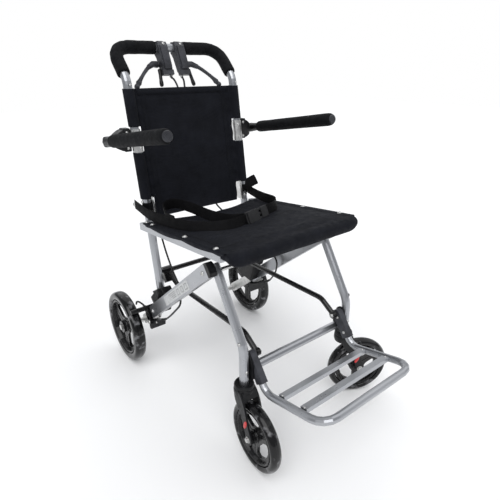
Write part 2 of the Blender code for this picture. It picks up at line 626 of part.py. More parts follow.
def build_wheel(name, body, radius, width, hub_half, looks):
    """A tyre and a rim with three windows, turned round the X axis of the wheel's own empty."""
    half = width / 2
    inner = radius * 0.78
    crown = [(radius - 0.006, -half), (radius - 0.002, -half + 0.0045), (radius, -half + 0.009)]
    crown += [(r, -x) for r, x in reversed(crown)]
    tyre = turned(f"{name}_tyre", [(inner, half - 0.004), (inner, -half + 0.004), *crown], looks["tyre"], 32)
    hang(tyre, body, shared=True)

    edge = inner - GAP
    hub, web, flange = radius * 0.17, 0.0035, half - 0.0045
    profile = [(edge, -flange), (edge, flange), (edge - 0.005, flange), (edge - 0.007, web), (hub, web)]
    profile += [(hub, hub_half), (0.0046, hub_half), (0.0046, -hub_half), (hub, -hub_half), (hub, -web)]
    profile += [(edge - 0.007, -web), (edge - 0.005, -flange)]
    rim = turned(f"{name}_rim", profile, looks["plastic"], 24)
    for window in range(3):
        outline = window_outline(hub + 0.008, edge - 0.0125, math.radians(120 * window + 90))
        cut(rim, plate(f"{name}_window_{window}", outline, -0.03, 0.03, looks["plastic"]))
    hang(rim, body, shared=True)


def build_fork(side, caster, looks):
    """A caster fork round its own swivel axis, with the cup that takes the leg."""
    arm = [(0.0205, FORK_TOP - 0.004), (-0.0205, FORK_TOP - 0.004), (-0.0330, 0.1560), (-0.0520, 0.0840)]
    arm += arc((-CASTER_TRAIL, FRONT_RADIUS), 0.0115, 150, 385, 8)
    arm += [(-0.0160, 0.1290), (0.0130, 0.1500), (0.0205, 0.1620)]
    fork = tube(f"caster_fork_{side}", [Vector((0, 0, 0.1585)), Vector((0, 0, FORK_TOP))], 0.0220, looks["plastic"], 24)
    slab = plate(f"fork_slab_{side}", arm, -0.0205, 0.0205, looks["plastic"])
    slot_outline = [(0.06, 0.0), (0.06, 0.1585), (-0.12, 0.1585), (-0.12, 0.0)]
    slot = plate(f"fork_slot_{side}", slot_outline, -0.0160, 0.0160, looks["plastic"])
    cup = cylinder(f"fork_cup_{side}", (0, 0, (FORK_FLOOR + 0.2) / 2), (0, 0, 1), 0.2 - FORK_FLOOR,
                   LEG_RADIUS + 0.0007, looks["plastic"])
    axle = cylinder(f"fork_axle_{side}", (0, -CASTER_TRAIL, FRONT_RADIUS), (1, 0, 0), 0.0500, 0.0042, looks["steel"], 12)
    join(cut(cut(join(fork, slab), slot), cup), axle)
    hang(fork, caster, shared=True)


def build_casters(legs, looks):
    for side, sign in SIDES:
        foot = Vector((sign * LEG_X, 0, 0))
        caster = pivot(f"caster_pivot_{side}", foot, legs, CASTER_TURN[side])
        build_fork(side, caster, looks)
        hub = pivot(f"front_wheel_pivot_{side}", foot + Vector((0, -CASTER_TRAIL, FRONT_RADIUS)), caster)
        build_wheel(f"front_{side}", hub, FRONT_RADIUS, FRONT_WIDTH, 0.0145, looks)


def build_rear_wheels(chair, looks):
    for side, sign in SIDES:
        hub = pivot(f"rear_wheel_pivot_{side}", Vector((sign * REAR_WHEEL_X, *REAR_AXLE.yz)), chair)
        build_wheel(f"rear_{side}", hub, REAR_RADIUS, REAR_WIDTH, 0.0140, looks)


def main():
    clear_scene()
    looks = make_looks()
    chair = pivot("chair", Vector((0, 0, 0)))
    for side, sign in SIDES:
        build_side(side, sign, chair, looks)
        build_axle_bracket(side, sign, chair, looks)
        build_brake_arm(side, sign, chair, looks)
        cable = cord(f"brake_cable_lower_{side}", lower_cable_route(side, sign), CABLE_RADIUS, looks["plastic"])
        hang(cable, chair)
    build_seat(chair, looks)
    build_belt(chair, looks)
    build_backrest(chair, looks)
    legs = build_front_legs(chair, looks)
    build_brace(legs, looks)
    build_footrest(legs, looks)
    build_casters(legs, looks)
    build_rear_wheels(chair, looks)
    chair.location = -PLAN_CENTRE


main()
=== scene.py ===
"""Looks of the transport wheelchair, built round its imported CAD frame."""

import json
from math import cos, exp, pi, radians, sin, sqrt

import bmesh
import bpy
from mathutils import Matrix, Vector, noise


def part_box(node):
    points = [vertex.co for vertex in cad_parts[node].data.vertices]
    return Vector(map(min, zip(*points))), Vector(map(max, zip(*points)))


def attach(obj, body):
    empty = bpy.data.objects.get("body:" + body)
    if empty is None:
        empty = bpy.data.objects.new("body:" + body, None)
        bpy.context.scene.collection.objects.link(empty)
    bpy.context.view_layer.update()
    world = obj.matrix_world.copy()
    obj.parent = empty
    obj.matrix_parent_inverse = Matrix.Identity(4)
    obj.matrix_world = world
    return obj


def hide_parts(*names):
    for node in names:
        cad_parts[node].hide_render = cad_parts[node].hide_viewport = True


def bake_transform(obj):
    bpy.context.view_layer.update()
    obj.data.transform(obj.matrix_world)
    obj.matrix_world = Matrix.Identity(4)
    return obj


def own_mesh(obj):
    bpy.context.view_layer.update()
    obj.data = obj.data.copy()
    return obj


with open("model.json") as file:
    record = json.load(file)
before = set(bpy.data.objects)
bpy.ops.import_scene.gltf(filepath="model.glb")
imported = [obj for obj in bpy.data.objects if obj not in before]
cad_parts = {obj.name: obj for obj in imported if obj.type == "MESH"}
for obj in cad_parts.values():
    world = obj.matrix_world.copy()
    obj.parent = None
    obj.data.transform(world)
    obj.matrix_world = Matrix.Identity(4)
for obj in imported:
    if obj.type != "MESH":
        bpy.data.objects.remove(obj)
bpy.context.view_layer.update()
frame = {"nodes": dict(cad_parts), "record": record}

SIDES = (("left", -1), ("right", 1))


# The chair's own frame: x = 0 is its plane of symmetry and y = 0 its caster swivel axis.
tube_low, tube_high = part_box("front_cross_tube")
tube_middle = (Vector(tube_low) + Vector(tube_high)) / 2
CHAIR = tube_middle - Vector((0, 0.012, tube_middle.z))


def spot(x, y, z):
    """A point of the chair's own frame, in the row's frame."""
    return CHAIR + Vector((x, y, z))


def placed(name, data):
    """A new object in the scene."""
    obj = bpy.data.objects.new(name, data)
    bpy.context.scene.collection.objects.link(obj)
    return obj


# ---- materials


class Look:
    """A material under construction: its node tree, its shader and short ways to add nodes."""

    def __init__(self, name, colour, roughness, metallic=0):
        self.material = bpy.data.materials.new(name)
        self.material.use_nodes = True
        self.tree = self.material.node_tree
        self.shader = self.tree.nodes["Principled BSDF"]
        for socket, value in (("Base Color", (*colour, 1)), ("Roughness", roughness), ("Metallic", metallic)):
            self.shader.inputs[socket].default_value = value
        self.place = self.add("ShaderNodeTexCoord").outputs["Object"]

    def add(self, kind, **settings):
        node = self.tree.nodes.new(kind)
        for name, value in settings.items():
            setattr(node, name, value)
        return node

    def link(self, output, target):
        self.tree.links.new(output, target)

    def noise(self, scale, detail=2):
        node = self.add("ShaderNodeTexNoise")
        node.inputs["Scale"].default_value = scale
        node.inputs["Detail"].default_value = detail
        self.link(self.place, node.inputs["Vector"])
        return node.outputs["Fac"]

    def ramp(self, value, low, high, start=0.3, end=0.7):
        """A value turned into a colour or a grey between low and high."""
        node = self.add("ShaderNodeValToRGB")
        stops = node.color_ramp.elements
        stops[0].position, stops[1].position = start, end
        for stop, shade in zip(stops, (low, high)):
            stop.color = (*shade, 1) if isinstance(shade, tuple) else (shade, shade, shade, 1)
        self.link(value, node.inputs["Fac"])
        return node.outputs["Color"]

    def math(self, operation, first, second):
        node = self.add("ShaderNodeMath", operation=operation)
        for socket, value in zip(node.inputs, (first, second)):
            if isinstance(value, (int, float)):
                socket.default_value = value
            else:
                self.link(value, socket)
        return node.outputs[0]

    def colour(self, output):
        self.link(output, self.shader.inputs["Base Color"])

    def rough(self, output):
        self.link(output, self.shader.inputs["Roughness"])

    def bump(self, height, distance, strength=1):
        node = self.add("ShaderNodeBump")
        node.inputs["Distance"].default_value = distance
        node.inputs["Strength"].default_value = strength
        self.link(height, node.inputs["Height"])
        previous = self.shader.inputs["Normal"]
        if previous.is_linked:
            self.link(previous.links[0].from_socket, node.inputs["Normal"])
        self.link(node.outputs["Normal"], previous)

    def set(self, **values):
        for name, value in values.items():
            self.shader.inputs[name.replace("_", " ")].default_value = value
        return self


def mottled(name, colour, roughness, tones, grain, gloss=None, metallic=0, **shader):
    """A material that varies with noise. Each of these starts with the noise's scale and detail:
    tones goes on with two colours, gloss with two roughnesses, grain with a bump's distance and strength."""
    look = Look(name, colour, roughness, metallic)
    look.colour(look.ramp(look.noise(*tones[:2]), *tones[2:]))
    if gloss:
        look.rough(look.ramp(look.noise(*gloss[:2]), *gloss[2:]))
    look.bump(look.noise(*grain[:2]), *grain[2:])
    return look.set(**shader).material


# pale lightens the whole plastic; in the lever look this lightening is a painted highlight.
def moulded_plastic(name, pale=1):
    dark = (0.0036 * pale, 0.0037 * pale, 0.0043 * pale)
    light = (0.009 * pale, 0.0093 * pale, 0.0108 * pale)
    return mottled(name, (0.006, 0.006, 0.007), 0.42, (40, 3, dark, light),
                   (2200, 1, 0.00005, 0.7), (150, 3, 0.34, 0.52), Specular_IOR_Level=0.3)


def foam_rubber():
    look = Look("foam_rubber", (0.014, 0.014, 0.015), 0.85)
    cells = look.add("ShaderNodeTexVoronoi")
    cells.inputs["Scale"].default_value = 900
    look.link(look.place, cells.inputs["Vector"])
    look.colour(look.ramp(look.noise(55, 4), (0.0032, 0.0034, 0.0042), (0.0072, 0.0076, 0.0092)))
    look.rough(look.ramp(look.noise(120, 3), 0.72, 0.92))
    look.bump(cells.outputs["Distance"], 0.00025, 0.6)
    return look.set(Specular_IOR_Level=0.16).material


def woven_nylon(name="woven_nylon", thread=0.0011, colour=(0.006, 0.0066, 0.0094), lift=0.5):
    """Plain weave: crossed waves over the object's own axes, with slight fading and slubs."""
    look = Look(name, colour, 0.72)
    waves = []
    for axis in ("X", "Y", "Z"):
        wave = look.add("ShaderNodeTexWave", bands_direction=axis)
        wave.inputs["Scale"].default_value = 0.314 / thread
        wave.inputs["Distortion"].default_value = 0.6
        wave.inputs["Detail Scale"].default_value = 2
        look.link(look.place, wave.inputs["Vector"])
        waves.append(wave.outputs["Fac"])
    crossed = [look.math("MAXIMUM", waves[0], wave) for wave in waves[1:]]
    weave = look.math("MULTIPLY", *crossed)
    dark, light = (tuple(part * share for part in colour) for share in (0.7, 1.9))
    tone = look.math("ADD", look.math("MULTIPLY", weave, 0.35), look.math("MULTIPLY", look.noise(26, 5), 0.65))
    look.colour(look.ramp(tone, dark, light, 0.25, 0.8))
    look.rough(look.ramp(look.noise(80, 3), 0.62, 0.82))
    look.bump(weave, 0.0003, lift)
    look.bump(look.noise(60, 4), 0.0012, 0.25)
    return look.set(Sheen_Weight=0.02, Sheen_Roughness=0.4, Specular_IOR_Level=0.1).material


LOOKS = {
    "aluminium": mottled(
        "anodised_aluminium", (0.42, 0.43, 0.45), 0.3, (9, 3, (0.375, 0.385, 0.405), (0.415, 0.425, 0.445)),
        (1400, 2, 0.00002, 0.3), (60, 4, 0.27, 0.33), metallic=0.9),
    "plastic": moulded_plastic("moulded_plastic"),
    "lacquer": mottled(
        "gloss_lacquer", (0.012, 0.012, 0.013), 0.22, (30, 3, (0.003, 0.003, 0.0033), (0.007, 0.007, 0.0078)),
        (500, 2, 0.00006, 0.35), (90, 4, 0.18, 0.34),
        Specular_IOR_Level=0.35, Coat_Weight=0.12, Coat_Roughness=0.12),
    "steel": mottled(
        "zinc_steel", (0.62, 0.62, 0.61), 0.34, (70, 5, (0.5, 0.5, 0.49), (0.7, 0.7, 0.69)),
        (900, 2, 0.00005, 0.5), (200, 3, 0.26, 0.46), metallic=1),
    "foam": foam_rubber(),
    "nylon": woven_nylon(),
    "webbing": woven_nylon("webbing", 0.0016, (0.0035, 0.0035, 0.004), 0.9),
    "tyre": mottled(
        "smoky_tyre", (0.03, 0.03, 0.032), 0.16, (55, 5, (0.004, 0.004, 0.0045), (0.2, 0.2, 0.21), 0.56, 0.74),
        (46, 3, 0.0008, 0.25), (90, 4, 0.08, 0.26),
        Coat_Weight=0.25, Coat_Roughness=0.05, Specular_IOR_Level=0.22),
    "red": mottled(
        "red_plastic", (0.6, 0.012, 0.012), 0.34, (120, 3, (0.48, 0.008, 0.008), (0.68, 0.02, 0.02)),
        (900, 2, 0.00005, 0.5)),
    "label": mottled(
        "paper_label", (0.55, 0.56, 0.56), 0.45, (140, 4, (0.46, 0.47, 0.47), (0.62, 0.63, 0.63)),
        (300, 3, 0.00006, 0.4)),
    "band": woven_nylon("seam_band", 0.0011, (0.0058, 0.0064, 0.009), 0.6),
    "thread": woven_nylon("thread", 0.0005, (0.01, 0.01, 0.012), 0.3),
    "ink": mottled(
        "grey_ink", (0.2, 0.2, 0.21), 0.5, (200, 3, (0.17, 0.17, 0.18), (0.26, 0.26, 0.27)),
        (700, 2, 0.00003, 0.4)),
    "cap": moulded_plastic("grey_plastic", 5),
    # lever: the black plastic made paler all over, a painted highlight standing in for the shine on lever bodies,
    # levers and footrest sleeves.
    "lever": moulded_plastic("black_plastic_painted_highlight", 6.5),
}

# The look of each material slot in the record, and the slot that each look belongs to.
SLOT_LOOKS = {
    "anodised_aluminium": "aluminium", "black_plastic": "plastic", "black_lacquer": "lacquer",
    "zinc_steel": "steel", "black_foam": "foam", "black_nylon": "nylon", "smoky_tyre": "tyre",
}
LOOK_SLOTS = {look: slot for slot, look in SLOT_LOOKS.items()}
LOOK_SLOTS |= dict.fromkeys(("webbing", "band", "thread"), "black_nylon")
LOOK_SLOTS |= dict.fromkeys(("red", "label", "ink", "cap", "lever"), "black_plastic")


# ---- studio

AMBIENT = 0.42
FLOOR_REACH = 9
# Each sun's name, place, strength and width in degrees.
SUNS = (("key", (-1.6, -1.5, 3), 1.75, 55), ("fill", (2.2, -0.6, 2.4), 0.75, 70),
        ("back", (0.8, 2.4, 2.2), 0.65, 60))
LENS = 30.3
CAMERA_SPOT = (-0.564, -0.558, 0.784)
CAMERA_PAN, CAMERA_TILT, CAMERA_ROLL = -37.42, 90 - 23.36, -0.27


def add_studio():
    """A room that is seen white but lights the chair softly, a pale floor and three wide suns."""
    scene = bpy.context.scene
    scene.view_settings.view_transform = "Standard"
    world = bpy.data.worlds.new("studio")
    world.use_nodes = True
    nodes, links = world.node_tree.nodes, world.node_tree.links
    ambient = nodes["Background"]
    ambient.inputs["Color"].default_value = (0.94, 0.96, 1, 1)
    ambient.inputs["Strength"].default_value = AMBIENT
    seen = nodes.new("ShaderNodeBackground")
    seen.inputs["Color"].default_value = (1, 1, 1, 1)
    seen.inputs["Strength"].default_value = 1
    choice = nodes.new("ShaderNodeMixShader")
    links.new(nodes.new("ShaderNodeLightPath").outputs["Is Camera Ray"], choice.inputs["Fac"])
    links.new(ambient.outputs["Background"], choice.inputs[1])
    links.new(seen.outputs["Background"], choice.inputs[2])
    links.new(choice.outputs["Shader"], nodes["World Output"].inputs["Surface"])
    scene.world = world

    floor = bpy.data.meshes.new("floor")
    corners = [(x * FLOOR_REACH, y * FLOOR_REACH, 0) for x, y in ((-1, -1), (1, -1), (1, 1), (-1, 1))]
    floor.from_pydata(corners, [], [(0, 1, 2, 3)])
    look = Look("studio_floor", (0.9, 0.9, 0.9), 0.8)
    look.colour(look.ramp(look.noise(3, 2), (0.955, 0.955, 0.955), (0.97, 0.97, 0.97)))
    floor.materials.append(look.set(Specular_IOR_Level=0).material)
    placed("floor", floor)

    for name, place, power, angle in SUNS:
        light = bpy.data.lights.new(name, "SUN")
        light.energy = power
        light.angle = radians(angle)
        lamp = placed(name, light)
        lamp.location = place
        lamp.rotation_euler = (-Vector(place)).to_track_quat("-Z", "Y").to_euler()


def add_camera():
    """Stands in front of the chair's -X side, looking down on it, as the picture was taken."""
    camera = bpy.data.cameras.new("camera")
    camera.sensor_width = 36
    camera.lens = LENS
    camera.clip_end = 30
    holder = placed("camera", camera)
    holder.matrix_world = (
        Matrix.Translation(spot(*CAMERA_SPOT))
        @ Matrix.Rotation(radians(CAMERA_PAN), 4, "Z")
        @ Matrix.Rotation(radians(CAMERA_TILT), 4, "X")
        @ Matrix.Rotation(radians(CAMERA_ROLL), 4, "Z")
    )
    bpy.context.scene.camera = holder


# ---- the chair's own measures

BACK_X = 0.15
BACK_HINGE = (0.4102, 0.478)
RECLINE = 0.147
LEG_X = 0.154
BAR_FACE = 0.1797
BRACE_PIVOT = Vector((0, 0.005, 0.243))
BRAKE_X = 0.1735
CASTER_TRAIL = 0.0445
CASTER_TURN = {"left": radians(-4), "right": radians(63)}
SEAT_HALF = 0.178
SCREW_ROWS = (0.059, 0.18, 0.337, 0.371)
BELT_LOOP = (0.4505, 0.4775)
ARM_PIVOT = Vector((0, 0.452, 0.6255))
ARM_TIP = Vector((0, 0.137, 0.674))
ARM_X = 0.214
SLEEVE_RADIUS = 0.0131
HANDLE_TOP = (0.5205, 0.8325)
FRONT_RADIUS, REAR_RADIUS = 0.078, 0.102
REAR_AXLE = (0.481, REAR_RADIUS)
REAR_WHEEL_X = 0.22
# Outlines in (y, z) of a lever body's face and of the plate on it, each with its inner and outer x.
LEVER_PLATES = (
    (((0.5028, 0.84), (0.499, 0.838), (0.479, 0.79), (0.48, 0.784), (0.485, 0.783), (0.4862, 0.7925)),
     0.015, 0.033),
    (((0.496, 0.826), (0.4935, 0.825), (0.4845, 0.802), (0.487, 0.801)), 0.0185, 0.0295),
)


def back_point(z):
    return BACK_HINGE[0] + RECLINE * (z - BACK_HINGE[1])


def seat_top(y):
    return 0.4783 - 0.112 * y


def bar_point(along, up):
    """A point of the sloping side bar: along its length from the front, and up across its depth."""
    slope = radians(38.8)
    return 0.088 + along * cos(slope) + up * sin(slope), 0.417 - along * sin(slope) + up * cos(slope)


def caster_frame(side, sign):
    """A caster's own frame: its swivel axis is z."""
    return Matrix.Translation((sign * LEG_X, 0, 0)) @ Matrix.Rotation(CASTER_TURN[side], 4, "Z")


def smooth_path(points, steps=6):
    """A curve through the points (Catmull-Rom)."""
    points = [Vector(p) for p in points]
    ends = [2 * points[0] - points[1], *points, 2 * points[-1] - points[-2]]
    path = []
    for a, b, c, d in zip(ends, ends[1:], ends[2:], ends[3:]):
        for step in range(steps):
            t = step / steps
            path.append(0.5 * (2 * b + (c - a) * t + (2 * a - 5 * b + 4 * c - d) * t * t
                               + (3 * b - a - 3 * c + d) * t * t * t))
    return [*path, points[-1]]


def frames_along(path):
    """Two directions across the path at each of its points, turning as little as they can."""
    ways = [(b - a).normalized() for a, b in zip(path, path[1:])]
    tangents = [ways[0], *[(a + b).normalized() for a, b in zip(ways, ways[1:])], ways[-1]]
    across = tangents[0].orthogonal().normalized()
    frames = []
    for tangent in tangents:
        across = (across - tangent * across.dot(tangent)).normalized()
        frames.append((across, tangent.cross(across)))
    return frames


# ---- pieces


def mirrored(sign, *points):
    """These points on one side of the chair: sign is -1 for its left and 1 for its right."""
    return [(sign * x, y, z) for x, y, z in points]


def turns(sides):
    return [2 * pi * s / sides for s in range(sides)]


def spun(centre, axis):
    """A function of radius, distance along an axis and angle round it, giving a point."""
    axis = Vector(axis).normalized()
    a = axis.orthogonal().normalized()
    b = axis.cross(a)
    return lambda r, h, t: Vector(centre) + axis * h + (a * cos(t) + b * sin(t)) * r


class Shape:
    """A mesh piece under construction. Its points are in the chair's own frame."""

    def __init__(self):
        self.mesh = bmesh.new()

    def rows(self, rows, closed=False, caps=False, skip=None):
        made = [[self.mesh.verts.new(p) for p in row] for row in rows]
        count = len(made[0])
        for i, (first, second) in enumerate(zip(made, made[1:])):
            for j in range(count if closed else count - 1):
                if skip and skip(i, j):
                    continue
                k = (j + 1) % count
                self.mesh.faces.new((first[j], first[k], second[k], second[j]))
        if caps:
            self.mesh.faces.new(made[0][::-1])
            self.mesh.faces.new(made[-1])
        return self

    def solid(self, rows):
        return self.rows(rows, closed=True, caps=True)

    def tube(self, path, radii, sides=16):
        path = [Vector(p) for p in path]
        radii = radii if isinstance(radii, (list, tuple)) else [radii] * len(path)
        return self.solid([[p + (a * cos(t) + b * sin(t)) * r for t in turns(sides)]
                           for p, (a, b), r in zip(path, frames_along(path), radii)])

    def lathe(self, centre, axis, profile, sides=32):
        """A solid turned round an axis from (radius, along) points."""
        point = spun(centre, axis)
        return self.solid([[point(r, h, t) for t in turns(sides)] for r, h in profile])

    def ring(self, centre, axis, profile, sides=48):
        """A ring turned round an axis from a closed outline of (radius, along) points."""
        point = spun(centre, axis)
        self.rows([[point(r, h, t) for r, h in profile] for t in [*turns(sides), 2 * pi]], closed=True)
        bmesh.ops.remove_doubles(self.mesh, verts=self.mesh.verts, dist=1e-6)
        return self

    def arc(self, start, sweep, steps, section, point):
        """A strip bent through an arc: point(radius, along, angle) places each (radius, along) of its section."""
        angles = [radians(start + sweep * step / steps) for step in range(steps + 1)]
        return self.solid([[point(radius, along, angle) for radius, along in section] for angle in angles])

    def plate(self, outline, x_from, x_to):
        return self.solid([[(x, y, z) for y, z in outline] for x in (x_from, x_to)])

    def block(self, centre, size, along=(1, 0, 0), up=(0, 0, 1)):
        along = Vector(along).normalized()
        side = Vector(up).cross(along).normalized()
        up = along.cross(side)
        corners = ((-0.5, -0.5), (0.5, -0.5), (0.5, 0.5), (-0.5, 0.5))
        return self.solid([[Vector(centre) + along * a * size[0] + side * s * size[1] + up * u * size[2]
                            for s, u in corners] for a in (-0.5, 0.5)])

    def bolt(self, centre, axis, radius, height=None):
        """A domed screw head with a small socket, standing on its centre point."""
        height = height or radius * 0.55
        profile = ((0.98, -0.6), (1, 0), (0.96, 0.35), (0.8, 0.75), (0.5, 1), (0.42, 1), (0.38, 0.45),
                   (0.02, 0.42))
        return self.lathe(centre, axis, [(radius * r, height * h) for r, h in profile], 18)

    def turned(self, matrix):
        bmesh.ops.transform(self.mesh, matrix=matrix, verts=self.mesh.verts)
        return self

    def done(self, name, body, look, bevel=0, smooth=38, replaces=(), ride=True, finer=False):
        """Makes the piece's object, with its look, edges, body and the nodes it replaces."""
        bmesh.ops.recalc_face_normals(self.mesh, faces=self.mesh.faces)
        bmesh.ops.translate(self.mesh, vec=CHAIR, verts=self.mesh.verts)
        data = bpy.data.meshes.new(name)
        self.mesh.to_mesh(data)
        self.mesh.free()
        data.materials.append(LOOKS[look])
        obj = placed(name, data)
        soften(obj, bevel, smooth)
        if finer:
            obj.modifiers.new("smooth", "SUBSURF").levels = 1
        if replaces:
            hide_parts(*replaces)
        if ride:
            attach(obj, body)
        return obj


def soften(obj, bevel=0, smooth=38):
    """Smooth shading up to an angle, and rounded edges if bevel is their width."""
    data = obj.data
    data.polygons.foreach_set("use_smooth", [True] * len(data.polygons))
    data.set_sharp_from_angle(angle=radians(smooth))
    if bevel:
        made = obj.modifiers.new("edges", "BEVEL")
        made.width = bevel
        made.segments = 3
        made.limit_method = "ANGLE"
        made.angle_limit = radians(40)
        made.harden_normals = True


def evaluated_mesh(obj):
    """The mesh that the object's modifiers make."""
    return bpy.data.meshes.new_from_object(obj.evaluated_get(bpy.context.evaluated_depsgraph_get()))


def inflate(obj, held, pressure=4, cap=0.005, frames=20):
    """Swells a closed fabric skin by cloth pressure, held where held(point) says, and keeps the result."""
    start = [v.co.copy() for v in obj.data.vertices]
    group = obj.vertex_groups.new(name="held")
    for index, point in enumerate(start):
        weight = held(point - CHAIR)
        if weight > 0:
            group.add([index], weight, "REPLACE")
    cloth = obj.modifiers.new("cloth", "CLOTH")
    cloth.settings.use_pressure = True
    cloth.settings.uniform_pressure_force = pressure
    cloth.settings.vertex_group_mass = "held"
    cloth.settings.effector_weights.gravity = 0
    cloth.settings.quality = 5
    cloth.collision_settings.use_collision = False
    cloth.point_cache.frame_end = frames
    scene = bpy.context.scene
    for number in range(1, frames + 1):
        scene.frame_set(number)
    data = evaluated_mesh(obj)
    moved = [v.co.copy() for v in data.vertices]
    obj.modifiers.clear()
    obj.vertex_groups.clear()
    bpy.data.meshes.remove(data)
    for vertex, before, after in zip(obj.data.vertices, start, moved):
        step = after - before
        if step.length > cap:
            step *= cap / step.length
        vertex.co = before + step
    scene.frame_set(1)


def wrinkle(x, y, z, size, scale):
    return noise.noise(Vector((x, y, z)) * scale) * size


def stitches(shape, path, rise, length=0.0032, gap=0.0016, thick=0.00035):
    """A row of sewn stitches along a path, lying rise above it."""
    path = [Vector(p) for p in path]
    reach = 0
    ways = list(zip(path, path[1:]))
    total = sum((b - a).length for a, b in ways)
    while reach + length < total:
        ends = []
        for left in (reach, reach + length):
            for a, b in ways:
                span = (b - a).length
                if left <= span:
                    ends.append(a.lerp(b, left / span) + Vector(rise))
                    break
                left -= span
        if len(ends) == 2:
            middle_point = (ends[0] + ends[1]) / 2 + Vector(rise).normalized() * thick
            shape.tube([ends[0], middle_point, ends[1]], [thick * 0.5, thick, thick * 0.5], 5)
        reach += length + gap


# ---- soft goods


def seat_rear(x):
    return 0.375 - 0.046 * max(0, 1 - (x / 0.15) ** 2) ** 1.2


def seat_width(y):
    """The fabric edge bows in a little between its screws."""
    marks = (-0.002, *SCREW_ROWS, 0.376)
    for a, b in zip(marks, marks[1:]):
        if a <= y <= b:
            return SEAT_HALF - 0.16 * (b - a) / 5 * sin(pi * (y - a) / (b - a))
    return SEAT_HALF


def seat_profile(x):
    """The closed loop of (y, z) round the seat's padding at one x: over the top, down the roll, back below."""
    reach = abs(x)
    thick = 0.003 if reach > 0.16 else 0.0105 if reach < 0.148 else 0.0105 - 0.0075 * (reach - 0.148) / 0.012
    rear = seat_rear(x)
    loop = []
    rows = 44
    for step in range(rows + 1):
        y = rear + (0.02 - rear) * step / rows
        dip = 0.003 * sin(pi * min(1, (y - 0.02) / 0.34)) * max(0, 1 - (x / 0.155) ** 2)
        ridge = 0.0016 * exp(-(((y - 0.05) / 0.008) ** 2))
        loop.append((y, seat_top(y) + 0.0004 - dip + ridge - 0.0012 * (y > rear - 0.004)))
    swell = 0.0018 * exp(-(((reach - 0.168) / 0.012) ** 2))
    roll = ((0.01, 0.4775), (0.003, 0.475), (-0.0015, 0.4705), (-0.003 - swell, 0.4635), (-0.002, 0.456),
            (0.002, 0.4495), (0.008, 0.4458), (0.016, 0.4452), (0.024, 0.448), (0.031, 0.454))
    ease = sqrt(max(0, 1 - (max(0, reach - 0.146) / 0.0325) ** 2))
    keep = 0.22 + 0.78 * ease
    loop += [(0.02 + (y - 0.02) * keep, 0.47 + (z - 0.47) * keep) for y, z in roll]
    for step in range(rows + 1):
        y = 0.036 + (rear - 0.036) * step / rows
        loop.append((y, seat_top(y) - thick))
    return loop


def build_seat():
    columns = 62
    rows = []
    for column in range(columns + 1):
        x = SEAT_HALF * sin(pi / 2 * (2 * column / columns - 1) * 0.96) / sin(pi / 2 * 0.96)
        row = []
        for y, z in seat_profile(x):
            pucker = wrinkle(x, y, z, 0.0011, 26) + wrinkle(x * 2, y * 0.6, z, 0.0007, 60)
            row.append((x * seat_width(y) / SEAT_HALF, y, z + pucker * max(0, 1 - (x / 0.165) ** 4)))
        rows.append(row)
    seat = Shape().solid(rows).done(
        "seat_cover", "chair", "nylon", smooth=60, replaces=("seat_sling",), ride=False)
    inflate(seat, lambda p: 1 if abs(p.x) > 0.15 else 0.35 if p.y < 0.03 else 0, 3, 0.0035)
    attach(seat, "chair")
    seat.modifiers.new("smooth", "SUBSURF").levels = 1

    seams = Shape()
    for y in (0.0485, 0.052):
        path = [(x / 1000, y, seat_top(y) + 0.003) for x in range(-166, 167, 4)]
        stitches(seams, path, (0, 0, 0.0001))
    for sign in (-1, 1):
        for inset in (0.013, 0.016):
            path = [(sign * (seat_width(y) - inset), y, seat_top(y) + 0.001)
                    for y in [0.02 + 0.008 * k for k in range(43)]]
            stitches(seams, path, (0, 0, 0.0002))
    seams.done("seat_stitching", "chair", "thread")

    hems = Shape()
    for _, sign in SIDES:
        rows = []
        for step in range(73):
            y = 0.022 + 0.352 * step / 72
            top = seat_top(y) + 0.0002
            hang = 0.0062 + 0.9 * (SEAT_HALF - seat_width(y)) - 0.003 * (step < 3) - 0.003 * (step > 69)
            out = 0.1797 + wrinkle(4, y, sign, 0.0004, 60)
            section = ((0.174, 0.0002), (0.179, 0.0006), (out + 0.0008, -0.0006), (out + 0.0012, -0.003),
                       (out + 0.0009, -hang), (out, -hang - 0.0006), (out - 0.0004, -hang), (out - 0.0004, -0.002),
                       (0.177, -0.0006), (0.174, -0.0008))
            rows.append([(sign * x, y, top + z) for x, z in section])
        hems.solid(rows)
    hems.done("seat_hems", "chair", "nylon", smooth=60)

    screws = Shape()
    for _, sign in SIDES:
        for y in SCREW_ROWS:
            screws.bolt((sign * 0.1725, y, seat_top(y) + 0.0012), (0, 0.11, 1), 0.0046, 0.0026)
            screws.lathe((sign * 0.1725, y, seat_top(y) + 0.0004), (0, 0.11, 1),
                         [(0.0062, 0), (0.0062, 0.0007), (0.0055, 0.0011), (0.003, 0.0011)], 22)
    screws.done("seat_screws", "chair", "steel")


def panel_y(x, z):
    """The back fabric hangs a little slack between its tubes."""
    slack = 0.005 * max(0, 1 - (x / 0.14) ** 2)
    folds = wrinkle(x * 0.5, 3.1, z, 0.0016, 22) + wrinkle(x, 7.7, z * 0.4, 0.0011, 48)
    edge = 0.0011 * sin(z * 190) * exp(-(((abs(x) - 0.135) / 0.012) ** 2))
    return back_point(z) + slack + folds * max(0, 1 - (x / 0.142) ** 6) + edge


def back_half(z):
    """Half the panel's width: it narrows to a flap below the tubes' sleeves."""
    return 0.1345 if z > 0.492 else 0.1285 - 0.1 * max(0, 0.445 - z)


